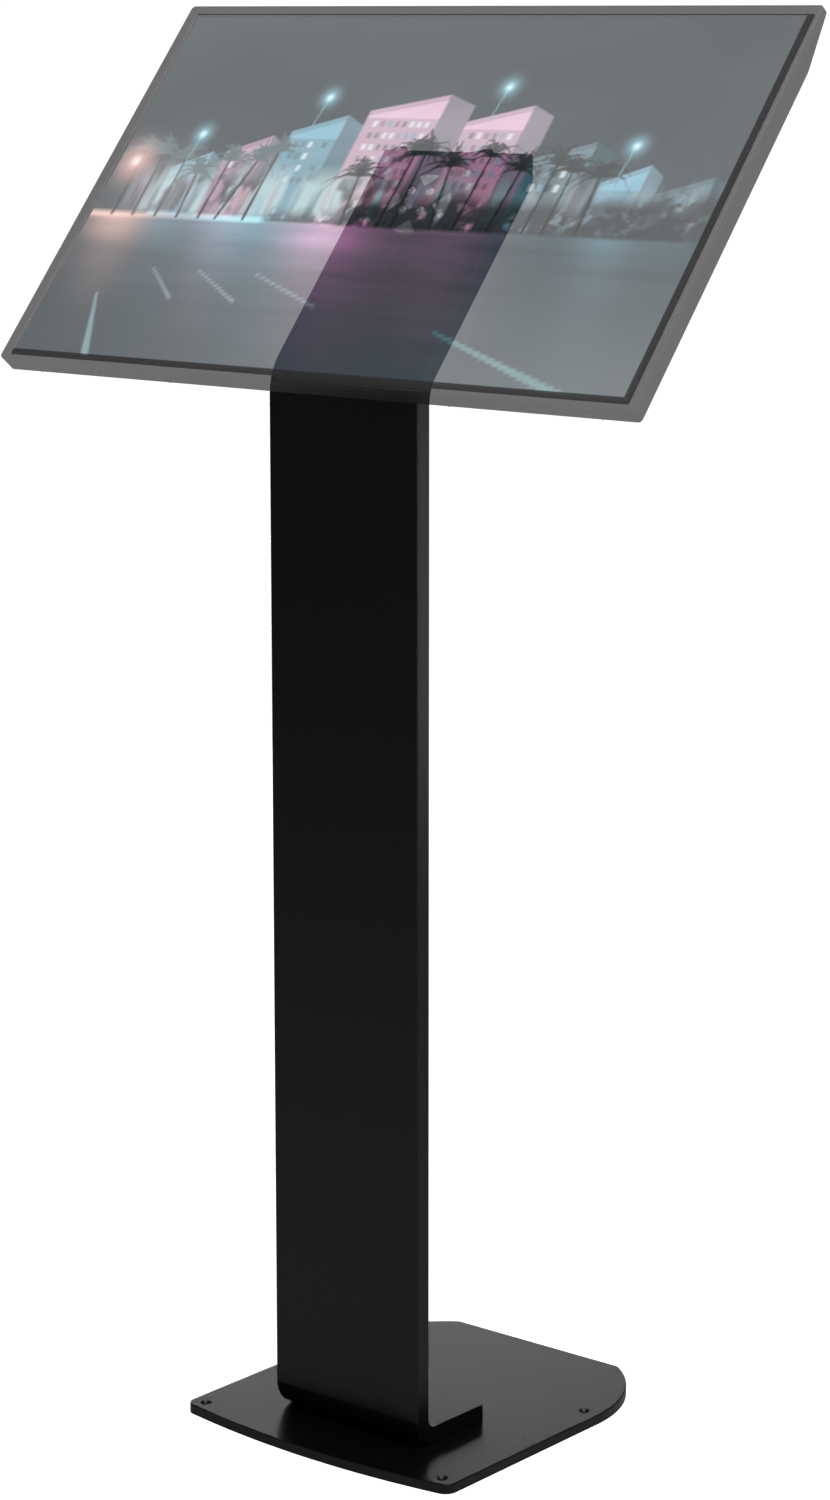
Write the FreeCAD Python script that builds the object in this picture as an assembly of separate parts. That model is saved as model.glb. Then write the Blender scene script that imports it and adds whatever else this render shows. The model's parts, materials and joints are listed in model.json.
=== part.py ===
import FreeCAD, Part
import math
import os

# Touchscreen kiosk: a weighted floor plate, a thin bent column that leans back at the top into a
# mounting head, and a 32-inch touch display that turns on the head between landscape and portrait.
#
# Millimetres. +X is the user's right, +Y points away from the user, +Z is up.
# The origin is the middle of the underside of the floor plate's rubber mat.
#
# The head has its own frame: x to the right, l up along the head's front face from the corner
# where the column's and the head's front faces would meet, and n out of the head's front face.

# ---------------------------------------------------------------- driving dimensions: floor plate
MAT_T = 1.5                 # rubber mat under the plate
BASE_T = 8.0                # steel floor plate
BASE_WIDTH = 324.0
BASE_DEPTH = 354.0
BASE_BOW = 14.6             # how far the front edge bows out in the middle
BASE_REAR_WIDTH = 200.0     # straight part of the rear edge
BASE_REAR_TAPER = 116.0     # length over which each side curves in to the rear edge
BASE_FRONT_R = 12.0
BASE_REAR_R = 9.0
BASE_EDGE_R = 1.0
FLOOR_HOLE_R = 3.3          # for M6 floor screws
FLOOR_SINK_R = 5.8          # countersink radius at the top face
FLOOR_HOLE_INSET = 16.0     # hole centre from the plate's side
FLOOR_HOLE_FRONT = 25.0     # front holes behind the front of the bow
FLOOR_HOLE_SPACING_Y = 214.0

# ---------------------------------------------------------------- driving dimensions: column
COLUMN_WIDTH = 174.0
COLUMN_SETBACK = 60.5       # column's front face behind the front of the floor plate
COLUMN_HEIGHT = 986.5       # floor plate to the corner of the column's and head's front faces
HEAD_LENGTH = 252.5         # along the head's front face, from that corner to its top edge
HEAD_TILT = 40.0            # degrees back from vertical
FOOT_LENGTH = 97.0          # column's front face to the rear end of the foot
FACE_T = 2.0                # bent front sheet
DUCT_DEPTH = 13.0           # free depth of the cable duct
COVER_T = 1.5               # rear cover sheet
CHEEK_T = 3.0               # laser-cut side cheeks
END_T = 2.0                 # plates that close the foot and the head
LOW_BEND_R = 26.0           # outside radius at the foot
TOP_BEND_R = 57.0           # outside radius at the head
FACE_EDGE_R = 1.5
COVER_GAP = 0.4             # round the edges of each cover
COVER_SPLIT = 60.0          # joint of the two rear covers, below the head's corner
TAB_LENGTH = 16.0
TAB_WIDTH = 16.0
TAB_T = 2.0
COLUMN_TAB_ROWS = 5
HEAD_TAB_ROWS = 3
COLUMN_TAB_LOW = 60.0       # lowest tab above the foot's bend
COLUMN_TAB_HIGH = 30.0      # highest tab below the covers' joint
HEAD_TAB_LOW = 22.0         # lowest tab above the head's bend
HEAD_TAB_HIGH = 42.0        # highest tab below the head's top edge
COVER_SCREW_HEAD_R = 2.75
COVER_SCREW_HEAD_T = 1.6
COVER_SCREW_KEY = 2.0
SCREW_TIP = 0.6             # how far a cover screw reaches past its tab
CLAMP_GAP = 8.0             # between the cable exit and each clamp plate
CLAMP_SIDE = 2.0            # between a clamp plate and the cheek
CLAMP_FRONT = 4.0           # clamp plates behind the foot's bend
CLAMP_REAR = 6.0            # clamp plates before the end plate
CLAMP_TOP = 1.2             # between the clamp plates and the tabs
EXIT_WIDTH = 26.0           # cable exit in the foot's end plate
EXIT_HEIGHT = 8.0
SLOT_WIDTH = 27.5           # cable slot in the head's face
SLOT_BOTTOM = 107.5         # l of the slot's lower edge
SLOT_LENGTH = 43.0
SLOT_R = 4.0
GROMMET_WALL = 1.3
GROMMET_LIP = 1.8           # how far a grommet's lips overlap the sheet
LIP_T = 1.0
CLIP_COUNT = 3
CLIP_WIDTH = 24.0
CLIP_LENGTH = 12.0          # along the column
CLIP_WALL = 1.6
CLIP_FOOT = 6.0
PLUG_R = 20.0               # access hole behind the pivot nut
PLUG_LIP = 2.5
PLUG_T = 1.5
EDGE_SOFT = 0.6             # share of a thin lip or head that its rounding takes

# ---------------------------------------------------------------- driving dimensions: turntable
HUB_L = 182.0               # pivot axis along the head
HUB_BASE_R = 26.0
HUB_BASE_T = 10.0
HUB_SCREW_R = 18.0          # pitch radius of the base's screws
HUB_SCREW_HEAD_R = 4.75
HUB_SCREW_KEY = 3.0
BACKING_OVERHANG = 20.0     # backing plate beyond the turntable's base, left and right
BACKING_R = 3.0
WASHER_R = 12.8
WASHER_T = 1.0
DISC_R = 33.3
DISC_T = 4.0
PIVOT_R = 5.0
PIVOT_HEAD_R = 9.5
PIVOT_HEAD_T = 2.2
PIVOT_KEY = 6.0
PIVOT_KEY_DEPTH = 1.5
NUT_WIDTH = 17.0            # across flats
NUT_T = 4.5
SPRING_T = 1.0
SPRING_R = 10.0
NUT_CLEAR = 2.5             # nut to the rear cover's plug
STOP_PIN_R = 2.5
STOP_PITCH_R = 21.3
STOP_PIN_SEAT = 6.0         # how deep the pin is pressed into the base
STOP_CLEAR = 0.3            # pin's tip to the bottom of the groove
STOP_DEPTH = 2.3            # groove depth in the back of the disc
ROTATION = 90.0             # landscape to portrait
SPIDER_T = 3.0
ARM_WIDTH = 24.0
ARM_CROTCH_R = 2.5
VESA_OUTER = 100.0
VESA_INNER = 75.0
VESA_HOLE_R = 2.25
SPIDER_SCREW_PITCH = 21.2   # side of the square of four screws
SPIDER_HEAD_R = 4.75
SPIDER_HEAD_T = 2.75
SPIDER_KEY = 3.0
SPIDER_SCREW_SHORT = 0.5    # screw tips inside the disc's back
VESA_HEAD_R = 3.8
VESA_HEAD_T = 2.2
VESA_KEY = 2.5
DISC_EDGE = 0.5             # chamfer of the disc and rounding of the spider

# ---------------------------------------------------------------- driving dimensions: display
ACTIVE_WIDTH = 708.4        # 32-inch 16:9 picture
ACTIVE_HEIGHT = 398.5
BEZEL_SIDE = 12.3
BEZEL_TOP = 11.2
DISPLAY_DROP = 12.5         # display's centre below the pivot axis
HOUSING_DEPTH = 13.5
BODY_T = 20.0               # display without the rear housing
TOP_EDGE_T = 6.8            # display's thickness at its top edge
TAPER_LENGTH = 62.0         # from the top edge to the full thickness
DISPLAY_CORNER_R = 4.0
REAR_EDGE_R = 1.5
GLASS_T = 2.8
SENSOR_T = 0.4
PANEL_T = 1.3
GUIDE_T = 1.6
CHASSIS_T = 1.0
PANEL_RIM = 4.0             # panel beyond the picture on every side
FRAME_LIP = 1.8             # frame's rim round the glass
SHELL_T = 2.2
HOUSING_LEFT = 120.0        # rear housing, left and right of the pivot axis
HOUSING_RIGHT = 150.0
HOUSING_BELOW = 66.0
HOUSING_ABOVE = 84.0
HOUSING_R = 10.0
HOUSING_EDGE_R = 2.0
HUB_CUP_SIDE = 1.5          # round the spider's screw heads
HUB_CUP_DEPTH = 1.0         # beyond the spider's screw heads
EAR_LENGTH = 14.0           # the housing's screw ears
EAR_T = 2.5
EAR_INSET = 6.0             # ear's screw from the housing's outer wall
HOUSING_VENTS = 9
HOUSING_VENT_PITCH = 7.0
HOUSING_VENT_LENGTH = 60.0
HOUSING_VENT_INSET = 26.0   # first slot from the housing's right wall
VENT_WIDTH = 3.0
WINDOW_SIDE = 12.0          # window in the back cover, inside the housing's walls
WINDOW_LOW = 38.2           # window's lower edge below the pivot axis
WINDOW_HIGH = 58.2
BACK_VENTS = 15             # slots on each side
BACK_VENT_START = 24.0
BACK_VENT_PITCH = 8.0
BACK_VENT_LENGTH = 22.0
BACK_VENT_RISE = 30.0       # slots' middle above the housing
INSERT_R = 3.2
INSERT_LENGTH = 8.0
BOSS_WALL = 2.6             # plastic round each insert
BOARD_T = 1.6
BOARD_RISE = 2.6            # boards off the housing's floor
POST_R = 2.6
SOCKET_WALL = 0.5
SOCKET_PROUD = 0.4          # sockets' mouths outside the housing
SOCKET_DEPTH = 14.0
TONGUE_T = 1.8
JACK_BORE_R = 2.85
JACK_PIN_R = 1.0
JACK_DEPTH = 13.0
COVER_BOSS_R = 3.2
COVER_SCREW_LOW = 3.2       # back cover's screws from its lower edge
COVER_SCREW_SIDE = 3.8      # and from its side edges
FRAME_EDGE_R = 0.8
GLASS_EDGE = 0.3
SCREW_SEAT = 2.6            # depth of a cover screw in the front frame
LED_COUNT = 36
LED_LENGTH = 4.4
LED_RAIL = 1.2
LED_ZONE = 4.0              # height of the strip of lamps under the light guide
CHASSIS_SIDE = 12.0         # chassis inside the panel, left and right
CHASSIS_LOW = 6.0           # and at its lower edge
CHASSIS_CLEAR = 1.0         # chassis to the back cover's rising wall
CHASSIS_TOP = 4.0           # and further down, along it
TIMING_WIDTH = 190.0
TIMING_HEIGHT = 40.0
TIMING_RISE = 40.0          # timing board above the display's lower edge
LENS_WIDTH = 6.0
LENS_HEIGHT = 2.6
LENS_INSET = 50.0           # status lens from the display's right edge
LENS_RISE = 4.0             # and from the back wall's inner face
KEY_NAMES = ["power_key", "source_key", "menu_key", "minus_key", "plus_key"]
KEY_INSET = 16.0            # keys from the display's right edge
KEY_RISE = 60.0             # lowest key above the display's lower edge
KEY_PITCH = 16.0
KEY_LENGTH = 10.0
KEY_WIDTH = 6.0
KEY_TRAVEL = 0.8
KEY_PROUD = 1.2
KEY_R = 1.2
KEY_EDGE_R = 0.6
KEY_FLANGE = 1.0            # keeps each key in its hole
KEY_BOARD_RISE = 5.4        # key board off the back wall's inner face
KEY_BOARD_END = 14.0        # key board beyond the first and last key
KEY_POST_X = 7.0            # key board's posts beside the keys
KEY_POST_R = 2.2
SWITCH_SIZE = 6.0
SPEAKER_LENGTH = 70.0
SPEAKER_WIDTH = 27.0
SPEAKER_INSET = 120.0       # speakers' middles from the display's edges
SPEAKER_SLOTS = 11
SPEAKER_SLOT_PITCH = 5.0
SPEAKER_MOUTH = 56.0

# ---------------------------------------------------------------- clearances and small screws
FIT = 0.2                   # between separate pieces that don't move
THREAD_FIT = 0.05           # round a thread
RUNNING_FIT = 0.05          # radial, pivot bolt in the disc
SLIDE_FIT = 0.25            # round each key
M3, M4, M5, M8 = 1.5, 2.0, 2.5, 4.0     # shank radii

# ---------------------------------------------------------------- values worked out from those
COLUMN_DEPTH = FACE_T + DUCT_DEPTH + COVER_T
PLATE_TOP = MAT_T + BASE_T
BASE_FRONT_Y = -BASE_DEPTH / 2
BASE_REAR_Y = BASE_DEPTH / 2
COLUMN_Y = BASE_FRONT_Y + COLUMN_SETBACK
FOOT_END_Y = COLUMN_Y + FOOT_LENGTH
TILT = math.radians(HEAD_TILT)
CORNER_Z = PLATE_TOP + COLUMN_HEIGHT
TOP_BEND_Z = CORNER_Z - TOP_BEND_R * math.tan(TILT / 2)
HEAD_END_Y = COLUMN_Y + HEAD_LENGTH * math.sin(TILT)
SPLIT_Z = CORNER_Z - COVER_SPLIT
INNER_X = COLUMN_WIDTH / 2 - CHEEK_T
TAB_X = INNER_X - TAB_LENGTH / 2
COVER_FACE = FACE_T + DUCT_DEPTH            # depth of the covers' inner face
DISC_BACK = HUB_BASE_T + WASHER_T
DISC_FRONT = DISC_BACK + DISC_T
SPIDER_FRONT = DISC_FRONT + SPIDER_T
BACKING_T = DUCT_DEPTH - SPRING_T - NUT_T - NUT_CLEAR
HOUSING_N = SPIDER_FRONT                    # the display bears on the spider here
BODY_BACK = HOUSING_N + HOUSING_DEPTH
SCREEN_N = BODY_BACK + BODY_T
DISPLAY_WIDTH = ACTIVE_WIDTH + 2 * BEZEL_SIDE
DISPLAY_HEIGHT = ACTIVE_HEIGHT + 2 * BEZEL_TOP
DISPLAY_L = HUB_L - DISPLAY_DROP
DISPLAY_LOW = DISPLAY_L - DISPLAY_HEIGHT / 2
DISPLAY_HIGH = DISPLAY_L + DISPLAY_HEIGHT / 2
GLASS_BACK = SCREEN_N - GLASS_T
PANEL_FRONT = GLASS_BACK - SENSOR_T
GUIDE_FRONT = PANEL_FRONT - PANEL_T
GUIDE_BACK = GUIDE_FRONT - GUIDE_T
FRAME_BACK = GUIDE_BACK - FIT
CHASSIS_BACK = GUIDE_BACK - CHASSIS_T
SHELL_INNER = BODY_BACK + SHELL_T
PANEL_WIDTH = ACTIVE_WIDTH + 2 * PANEL_RIM
PANEL_HEIGHT = ACTIVE_HEIGHT + 2 * PANEL_RIM
KEY_X = DISPLAY_WIDTH / 2 - KEY_INSET
KEY_LOW = DISPLAY_LOW + KEY_RISE
KEY_HIGH = KEY_LOW + (len(KEY_NAMES) - 1) * KEY_PITCH
KEY_BOARD_N = SHELL_INNER + KEY_BOARD_RISE
LENS_X = DISPLAY_WIDTH / 2 - LENS_INSET
LENS_N = SHELL_INNER + LENS_RISE
SPEAKER_X = DISPLAY_WIDTH / 2 - SPEAKER_INSET
BOARD_N = HOUSING_N + SHELL_T + BOARD_RISE
BOARD_FRONT = BOARD_N + BOARD_T
CUP_R = SPIDER_SCREW_PITCH / math.sqrt(2) + SPIDER_HEAD_R + HUB_CUP_SIDE
TAPER_SLOPE = (BODY_T - TOP_EDGE_T) / TAPER_LENGTH

V = FreeCAD.Vector
ACROSS = V(1, 0, 0)
BACK = V(0, 1, 0)
UP = V(0, 0, 1)
HEAD_UP = V(0, math.sin(TILT), math.cos(TILT))
HEAD_OUT = V(0, -math.cos(TILT), math.sin(TILT))
HEAD_PLACE = FreeCAD.Placement(V(0, COLUMN_Y, CORNER_Z), FreeCAD.Rotation(ACROSS, 90 - HEAD_TILT))


# ---------------------------------------------------------------- shapes used by many parts
def box(x0, x1, y0, y1, z0, z1):
    return Part.makeBox(x1 - x0, y1 - y0, z1 - z0, V(x0, y0, z0))


def rod(r, x, y, z0, z1):
    return Part.makeCylinder(r, z1 - z0, V(x, y, z0))


def ring(r_in, r_out, x, y, z0, z1):
    return rod(r_out, x, y, z0, z1).cut(rod(r_in, x, y, z0, z1))


def cone(r0, r1, x, y, z0, z1):
    return Part.makeCone(r0, r1, z1 - z0, V(x, y, z0))


def rounded_slab(cx, cy, width, height, r, z0, z1):
    """A plate in the x-y plane with rounded corners."""
    slab = box(cx - width / 2, cx + width / 2, cy - height / 2, cy + height / 2, z0, z1)
    return slab.makeFillet(r, upright_edges(slab))


def frame_ring(cx, cy, outer, inner, r_out, r_in, z0, z1):
    """A rectangular ring; outer and inner are (width, height)."""
    hole = rounded_slab(cx, cy, inner[0], inner[1], r_in, z0, z1)
    return rounded_slab(cx, cy, outer[0], outer[1], r_out, z0, z1).cut(hole)


def prism(points, x0, x1):
    """A polygon of (y, z) points, extruded along X."""
    loop = [V(x0, y, z) for y, z in points]
    return Part.Face(Part.makePolygon(loop + loop[:1])).extrude(V(x1 - x0, 0, 0))


def hexagon(width, x, y, z0, z1):
    r = width / math.sqrt(3)
    loop = [V(x + r * math.cos(i * math.pi / 3), y + r * math.sin(i * math.pi / 3), z0)
            for i in range(7)]
    return Part.Face(Part.makePolygon(loop)).extrude(V(0, 0, z1 - z0))


def upright_edges(solid):
    return [e for e in solid.Edges
            if len(e.Vertexes) == 2 and abs(e.Vertexes[0].Z - e.Vertexes[1].Z) > 0.01
            and abs(e.Vertexes[0].X - e.Vertexes[1].X) < 0.001
            and abs(e.Vertexes[0].Y - e.Vertexes[1].Y) < 0.001]


def middle(edge):
    return edge.valueAt((edge.FirstParameter + edge.LastParameter) / 2)


def edges_near(solid, points):
    """The edges whose middles are at the given points."""
    return [e for e in solid.Edges if any(middle(e).distanceToPoint(p) < 0.05 for p in points)]


def placed(shape, position, direction):
    """Turn a shape made along +Z to point along direction, and move it to position."""
    turned = shape.copy()
    turned.Placement = FreeCAD.Placement(position, FreeCAD.Rotation(UP, direction))
    return turned


def on_head(shape):
    """Move a shape made in the head's frame to where the head is."""
    moved = shape.copy()
    moved.Placement = HEAD_PLACE.multiply(moved.Placement)
    return moved


def button_screw(r, length, head_r, head_t, key):
    """A socket button screw along Z: its head stands on z = 0 and its shank hangs below."""
    head = rod(head_r, 0, 0, 0, head_t)
    top = [e for e in head.Edges if abs(middle(e).z - head_t) < 0.01 and len(e.Vertexes) == 1]
    head = head.makeFillet(head_t * EDGE_SOFT, top)
    head = head.cut(hexagon(key, 0, 0, head_t * 0.4, head_t + 1))
    return head.fuse(rod(r, 0, 0, -length, 0)).removeSplitter()


def cover_screw(grip):
    """The small screw that holds every cover; grip is what it passes through."""
    return button_screw(M3, grip + SCREW_TIP, COVER_SCREW_HEAD_R, COVER_SCREW_HEAD_T, COVER_SCREW_KEY)


def sunk_screw(r, length, head_r, key):
    """A countersunk screw along Z: its flat top is at z = 0."""
    sink = head_r - r
    body = cone(r, head_r, 0, 0, -sink, 0).fuse(rod(r, 0, 0, -length, -sink))
    return body.cut(hexagon(key, 0, 0, -sink * 0.6, 1)).removeSplitter()


def group(shapes):
    return shapes[0] if len(shapes) == 1 else Part.makeCompound(shapes)


def copies(shape, places, z):
    """The same shape at each (x, l), standing at height z."""
    shapes = []
    for x, l in places:
        one = shape.copy()
        one.translate(V(x, l, z))
        shapes.append(one)
    return group(shapes)


def slot_row(centres, low, high, width, z0, z1):
    """Upright round-ended slots through a wall, side by side."""
    return [rounded_slab(x, (low + high) / 2, width, high - low, width / 2 - 0.1, z0, z1)
            for x in centres]


def cut_all(solid, tools):
    return solid.cut(Part.makeCompound(tools)) if tools else solid


# ---------------------------------------------------------------- the column's bent outline
def column_path(depth):
    """The edges of the line that lies depth behind the column's front face, foot to head."""
    low_centre = V(0, COLUMN_Y + LOW_BEND_R, PLATE_TOP + LOW_BEND_R)
    top_centre = V(0, COLUMN_Y + TOP_BEND_R, TOP_BEND_Z)
    low_r = LOW_BEND_R - depth
    top_r = TOP_BEND_R - depth

    def around(centre, r, angle):
        return centre + V(0, -math.cos(angle), math.sin(angle)) * r

    foot_end = V(0, FOOT_END_Y, PLATE_TOP + depth)
    low_start = around(low_centre, low_r, -math.pi / 2)
    low_end = around(low_centre, low_r, 0)
    top_start = around(top_centre, top_r, 0)
    top_end = around(top_centre, top_r, TILT)
    head_end = top_end + HEAD_UP * ((HEAD_END_Y - top_end.y) / HEAD_UP.y)
    low_arc = Part.Arc(low_start, around(low_centre, low_r, -math.pi / 4), low_end).toShape()
    top_arc = Part.Arc(top_start, around(top_centre, top_r, TILT / 2), top_end).toShape()
    return [Part.makeLine(foot_end, low_start), low_arc, Part.makeLine(low_end, top_start),
            top_arc, Part.makeLine(top_end, head_end)], foot_end, head_end


def band(depth0, depth1, x0, x1):
    """The solid between two depths behind the column's front face."""
    front, foot0, head0 = column_path(depth0)
    rear, foot1, head1 = column_path(depth1)
    edges = front + rear + [Part.makeLine(foot0, foot1), Part.makeLine(head0, head1)]
    face = Part.Face(Part.Wire(Part.__sortEdges__(edges)))
    face.translate(V(x0, 0, 0))
    return face.extrude(V(x1 - x0, 0, 0))


def space(y0=-2000.0, y1=2000.0, z0=-100.0, z1=4000.0):
    """A block across the whole width, for keeping one stretch of a band."""
    return box(-1000, 1000, y0, y1, z0, z1)


# ---------------------------------------------------------------- floor plate
def base_outline():
    """The floor plate's outline at z = 0, as a face."""
    half = BASE_WIDTH / 2
    rear_half = BASE_REAR_WIDTH / 2
    side_front = BASE_FRONT_Y + BASE_BOW
    side_rear = BASE_REAR_Y - BASE_REAR_TAPER
    step = half - rear_half
    radius = (step ** 2 + BASE_REAR_TAPER ** 2) / (2 * step)
    sweep = math.asin(BASE_REAR_TAPER / radius) / 2
    bulge = radius * (1 - math.cos(sweep))
    rise = radius * math.sin(sweep)

    def arc(a, b, c):
        return Part.Arc(V(a[0], a[1], 0), V(b[0], b[1], 0), V(c[0], c[1], 0)).toShape()

    def line(a, b):
        return Part.makeLine(V(a[0], a[1], 0), V(b[0], b[1], 0))

    edges = [arc((-half, side_front), (0, BASE_FRONT_Y), (half, side_front)),
             line((half, side_front), (half, side_rear)),
             arc((half, side_rear), (half - bulge, side_rear + rise), (rear_half, BASE_REAR_Y)),
             line((rear_half, BASE_REAR_Y), (-rear_half, BASE_REAR_Y)),
             arc((-rear_half, BASE_REAR_Y), (bulge - half, side_rear + rise), (-half, side_rear)),
             line((-half, side_rear), (-half, side_front))]
    return Part.Face(Part.Wire(edges))


def base_blank(z0, z1):
    blank = base_outline().extrude(V(0, 0, z1 - z0))
    side_front = BASE_FRONT_Y + BASE_BOW
    half_height = (z1 - z0) / 2
    front = [V(s * BASE_WIDTH / 2, side_front, half_height) for s in (-1, 1)]
    rear = [V(s * BASE_REAR_WIDTH / 2, BASE_REAR_Y, half_height) for s in (-1, 1)]
    blank = blank.makeFillet(BASE_FRONT_R, edges_near(blank, front))
    blank = blank.makeFillet(BASE_REAR_R, edges_near(blank, rear))
    blank.translate(V(0, 0, z0))
    return blank


def floor_holes():
    x = BASE_WIDTH / 2 - FLOOR_HOLE_INSET
    y = BASE_FRONT_Y + FLOOR_HOLE_FRONT
    return [(s * x, y + row * FLOOR_HOLE_SPACING_Y) for s in (-1, 1) for row in (0, 1)]


def foot_bolt_places():
    """The four bolts that hold the foot down: x and y."""
    x = (clamp_inner_x() + clamp_outer_x()) / 2
    start, end = clamp_span_y()
    quarter = (end - start) / 4
    return [(s * x, y) for s in (-1, 1) for y in (start + quarter, end - quarter)]


def base_mat():
    mat = base_blank(0, MAT_T)
    return cut_all(mat, [rod(FLOOR_HOLE_R + 1, x, y, -1, MAT_T + 1) for x, y in floor_holes()])


def base_plate():
    plate = base_blank(MAT_T, PLATE_TOP)
    rim = [e for e in plate.Edges if abs(middle(e).z - PLATE_TOP) < 0.001]
    plate = plate.makeFillet(BASE_EDGE_R, rim)
    sink = FLOOR_SINK_R - FLOOR_HOLE_R
    cuts = []
    for x, y in floor_holes():
        cuts.append(rod(FLOOR_HOLE_R, x, y, 0, PLATE_TOP + 1))
        cuts.append(cone(FLOOR_HOLE_R, FLOOR_SINK_R, x, y, PLATE_TOP - sink, PLATE_TOP))
    for x, y in foot_bolt_places():
        cuts.append(rod(M8 + FIT, x, y, 0, PLATE_TOP + 1))
        cuts.append(cone(2 * M8 + FIT, M8 + FIT, x, y, MAT_T, MAT_T + M8))
    return cut_all(plate, cuts)


def foot_bolts():
    length = BASE_T + FACE_T + clamp_thickness()
    bolt = sunk_screw(M8, length, 2 * M8, 5.0)
    return group([placed(bolt, V(x, y, MAT_T), V(0, 0, -1)) for x, y in foot_bolt_places()])


def clamp_inner_x():
    return EXIT_WIDTH / 2 + CLAMP_GAP


def clamp_outer_x():
    return INNER_X - CLAMP_SIDE


def clamp_span_y():
    return COLUMN_Y + LOW_BEND_R + CLAMP_FRONT, FOOT_END_Y - END_T - CLAMP_REAR


def clamp_thickness():
    return DUCT_DEPTH - TAB_T - CLAMP_TOP


def foot_clamp_plates():
    y0, y1 = clamp_span_y()
    z0 = PLATE_TOP + FACE_T
    plate = box(clamp_inner_x(), clamp_outer_x(), y0, y1, z0, z0 + clamp_thickness())
    both = [plate, plate.mirror(V(0, 0, 0), ACROSS)]
    holes = [rod(M8 + THREAD_FIT, x, y, z0 - 1, z0 + clamp_thickness() + 1)
             for x, y in foot_bolt_places()]
    return group([cut_all(p, holes) for p in both])


# ---------------------------------------------------------------- column
def column_face_sheet():
    half = COLUMN_WIDTH / 2
    sheet = band(0, FACE_T, -half, half)
    path = column_path(0)[0]
    rims = [middle(e) + V(s * half, 0, 0) for e in path for s in (-1, 1)]
    sheet = sheet.makeFillet(FACE_EDGE_R, edges_near(sheet, rims))
    foot_holes = [rod(M8 + FIT, x, y, PLATE_TOP - 1, PLATE_TOP + FACE_T + 1)
                  for x, y in foot_bolt_places()]
    head_holes = [rod(r + FIT, x, l, -FACE_T - 1, 1) for r, x, l in hub_holes()]
    slot = rounded_slab(0, SLOT_BOTTOM + SLOT_LENGTH / 2, SLOT_WIDTH, SLOT_LENGTH, SLOT_R,
                        -FACE_T - 1, 1)
    return cut_all(sheet, foot_holes + [on_head(s) for s in head_holes + [slot]])


def hub_screw_places():
    return [(HUB_SCREW_R * math.cos(a), HUB_L + HUB_SCREW_R * math.sin(a))
            for a in (math.radians(30), math.radians(150), math.radians(270))]


def hub_holes():
    """Shank radius, x and l of every hole that the turntable needs in the head."""
    return [(PIVOT_R, 0, HUB_L)] + [(M5, x, l) for x, l in hub_screw_places()]


def column_cheek(side):
    inner, outer = sorted((side * INNER_X, side * COLUMN_WIDTH / 2))
    return band(FACE_T, COLUMN_DEPTH, inner, outer)


def column_tab_heights():
    low = PLATE_TOP + LOW_BEND_R + COLUMN_TAB_LOW
    high = SPLIT_Z - COLUMN_TAB_HIGH
    step = (high - low) / (COLUMN_TAB_ROWS - 1)
    return [low + i * step for i in range(COLUMN_TAB_ROWS)]


def head_tab_places():
    """l of the head cover's screws."""
    low = TOP_BEND_R * math.tan(TILT / 2) + HEAD_TAB_LOW
    high = HEAD_LENGTH - HEAD_TAB_HIGH
    step = (high - low) / (HEAD_TAB_ROWS - 1)
    return [low + i * step for i in range(HEAD_TAB_ROWS)]


def column_screw_places():
    """Positions on the covers' outer face and outward directions, for the long cover."""
    return [(V(s * TAB_X, COLUMN_Y + COLUMN_DEPTH, z), BACK)
            for s in (-1, 1) for z in column_tab_heights()]


def head_screw_places():
    return [(HEAD_PLACE.multVec(V(s * TAB_X, l, -COLUMN_DEPTH)), -HEAD_OUT)
            for s in (-1, 1) for l in head_tab_places()]


def screw_hole(r, position, direction, depth):
    return placed(rod(r, 0, 0, -depth, 1), position, direction)


def cover_tab(position, direction):
    """A welded tab under a cover screw, with its threaded hole."""
    side = 1 if position.x > 0 else -1
    inward, outward = sorted((-side * TAB_LENGTH / 2, side * TAB_LENGTH / 2))
    tab = box(inward, outward, -TAB_WIDTH / 2, TAB_WIDTH / 2, -COVER_T - TAB_T, -COVER_T)
    tab = tab.cut(rod(M3 + THREAD_FIT, 0, 0, -COVER_T - TAB_T - 1, 0))
    return placed(tab, position, direction)


def cover_tabs():
    return group([cover_tab(p, d) for p, d in column_screw_places() + head_screw_places()])


def rear_cover(keep, places):
    half = INNER_X - COVER_GAP
    sheet = band(COVER_FACE, COLUMN_DEPTH, -half, half).common(keep)
    return cut_all(sheet, [screw_hole(M3 + FIT, p, d, COVER_T + 1) for p, d in places])


def column_rear_cover():
    keep = space(y1=FOOT_END_Y - END_T - COVER_GAP, z1=SPLIT_Z - COVER_GAP / 2)
    return rear_cover(keep, column_screw_places())


def head_rear_cover():
    keep = space(y1=HEAD_END_Y - END_T - COVER_GAP, z0=SPLIT_Z + COVER_GAP / 2)
    cover = rear_cover(keep, head_screw_places())
    return cover.cut(on_head(rod(PLUG_R, 0, HUB_L, -COLUMN_DEPTH - 1, -COVER_FACE + 1)))


def cover_screws():
    screw = cover_screw(COVER_T + TAB_T)
    return group([placed(screw, p, d) for p, d in column_screw_places()])


def head_cover_screws():
    screw = cover_screw(COVER_T + TAB_T)
    return group([placed(screw, p, d) for p, d in head_screw_places()])


def access_plug():
    lip = rod(PLUG_R + PLUG_LIP, 0, HUB_L, -COLUMN_DEPTH - PLUG_T, -COLUMN_DEPTH)
    rim = [e for e in lip.Edges if abs(middle(e).z + COLUMN_DEPTH + PLUG_T) < 0.01
           and len(e.Vertexes) == 1]
    lip = lip.makeFillet(PLUG_T * EDGE_SOFT, rim)
    stub = rod(PLUG_R - FIT, 0, HUB_L, -COLUMN_DEPTH, -COVER_FACE)
    return on_head(lip.fuse(stub).removeSplitter())


def exit_centre_z():
    return PLATE_TOP + FACE_T + DUCT_DEPTH / 2


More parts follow.
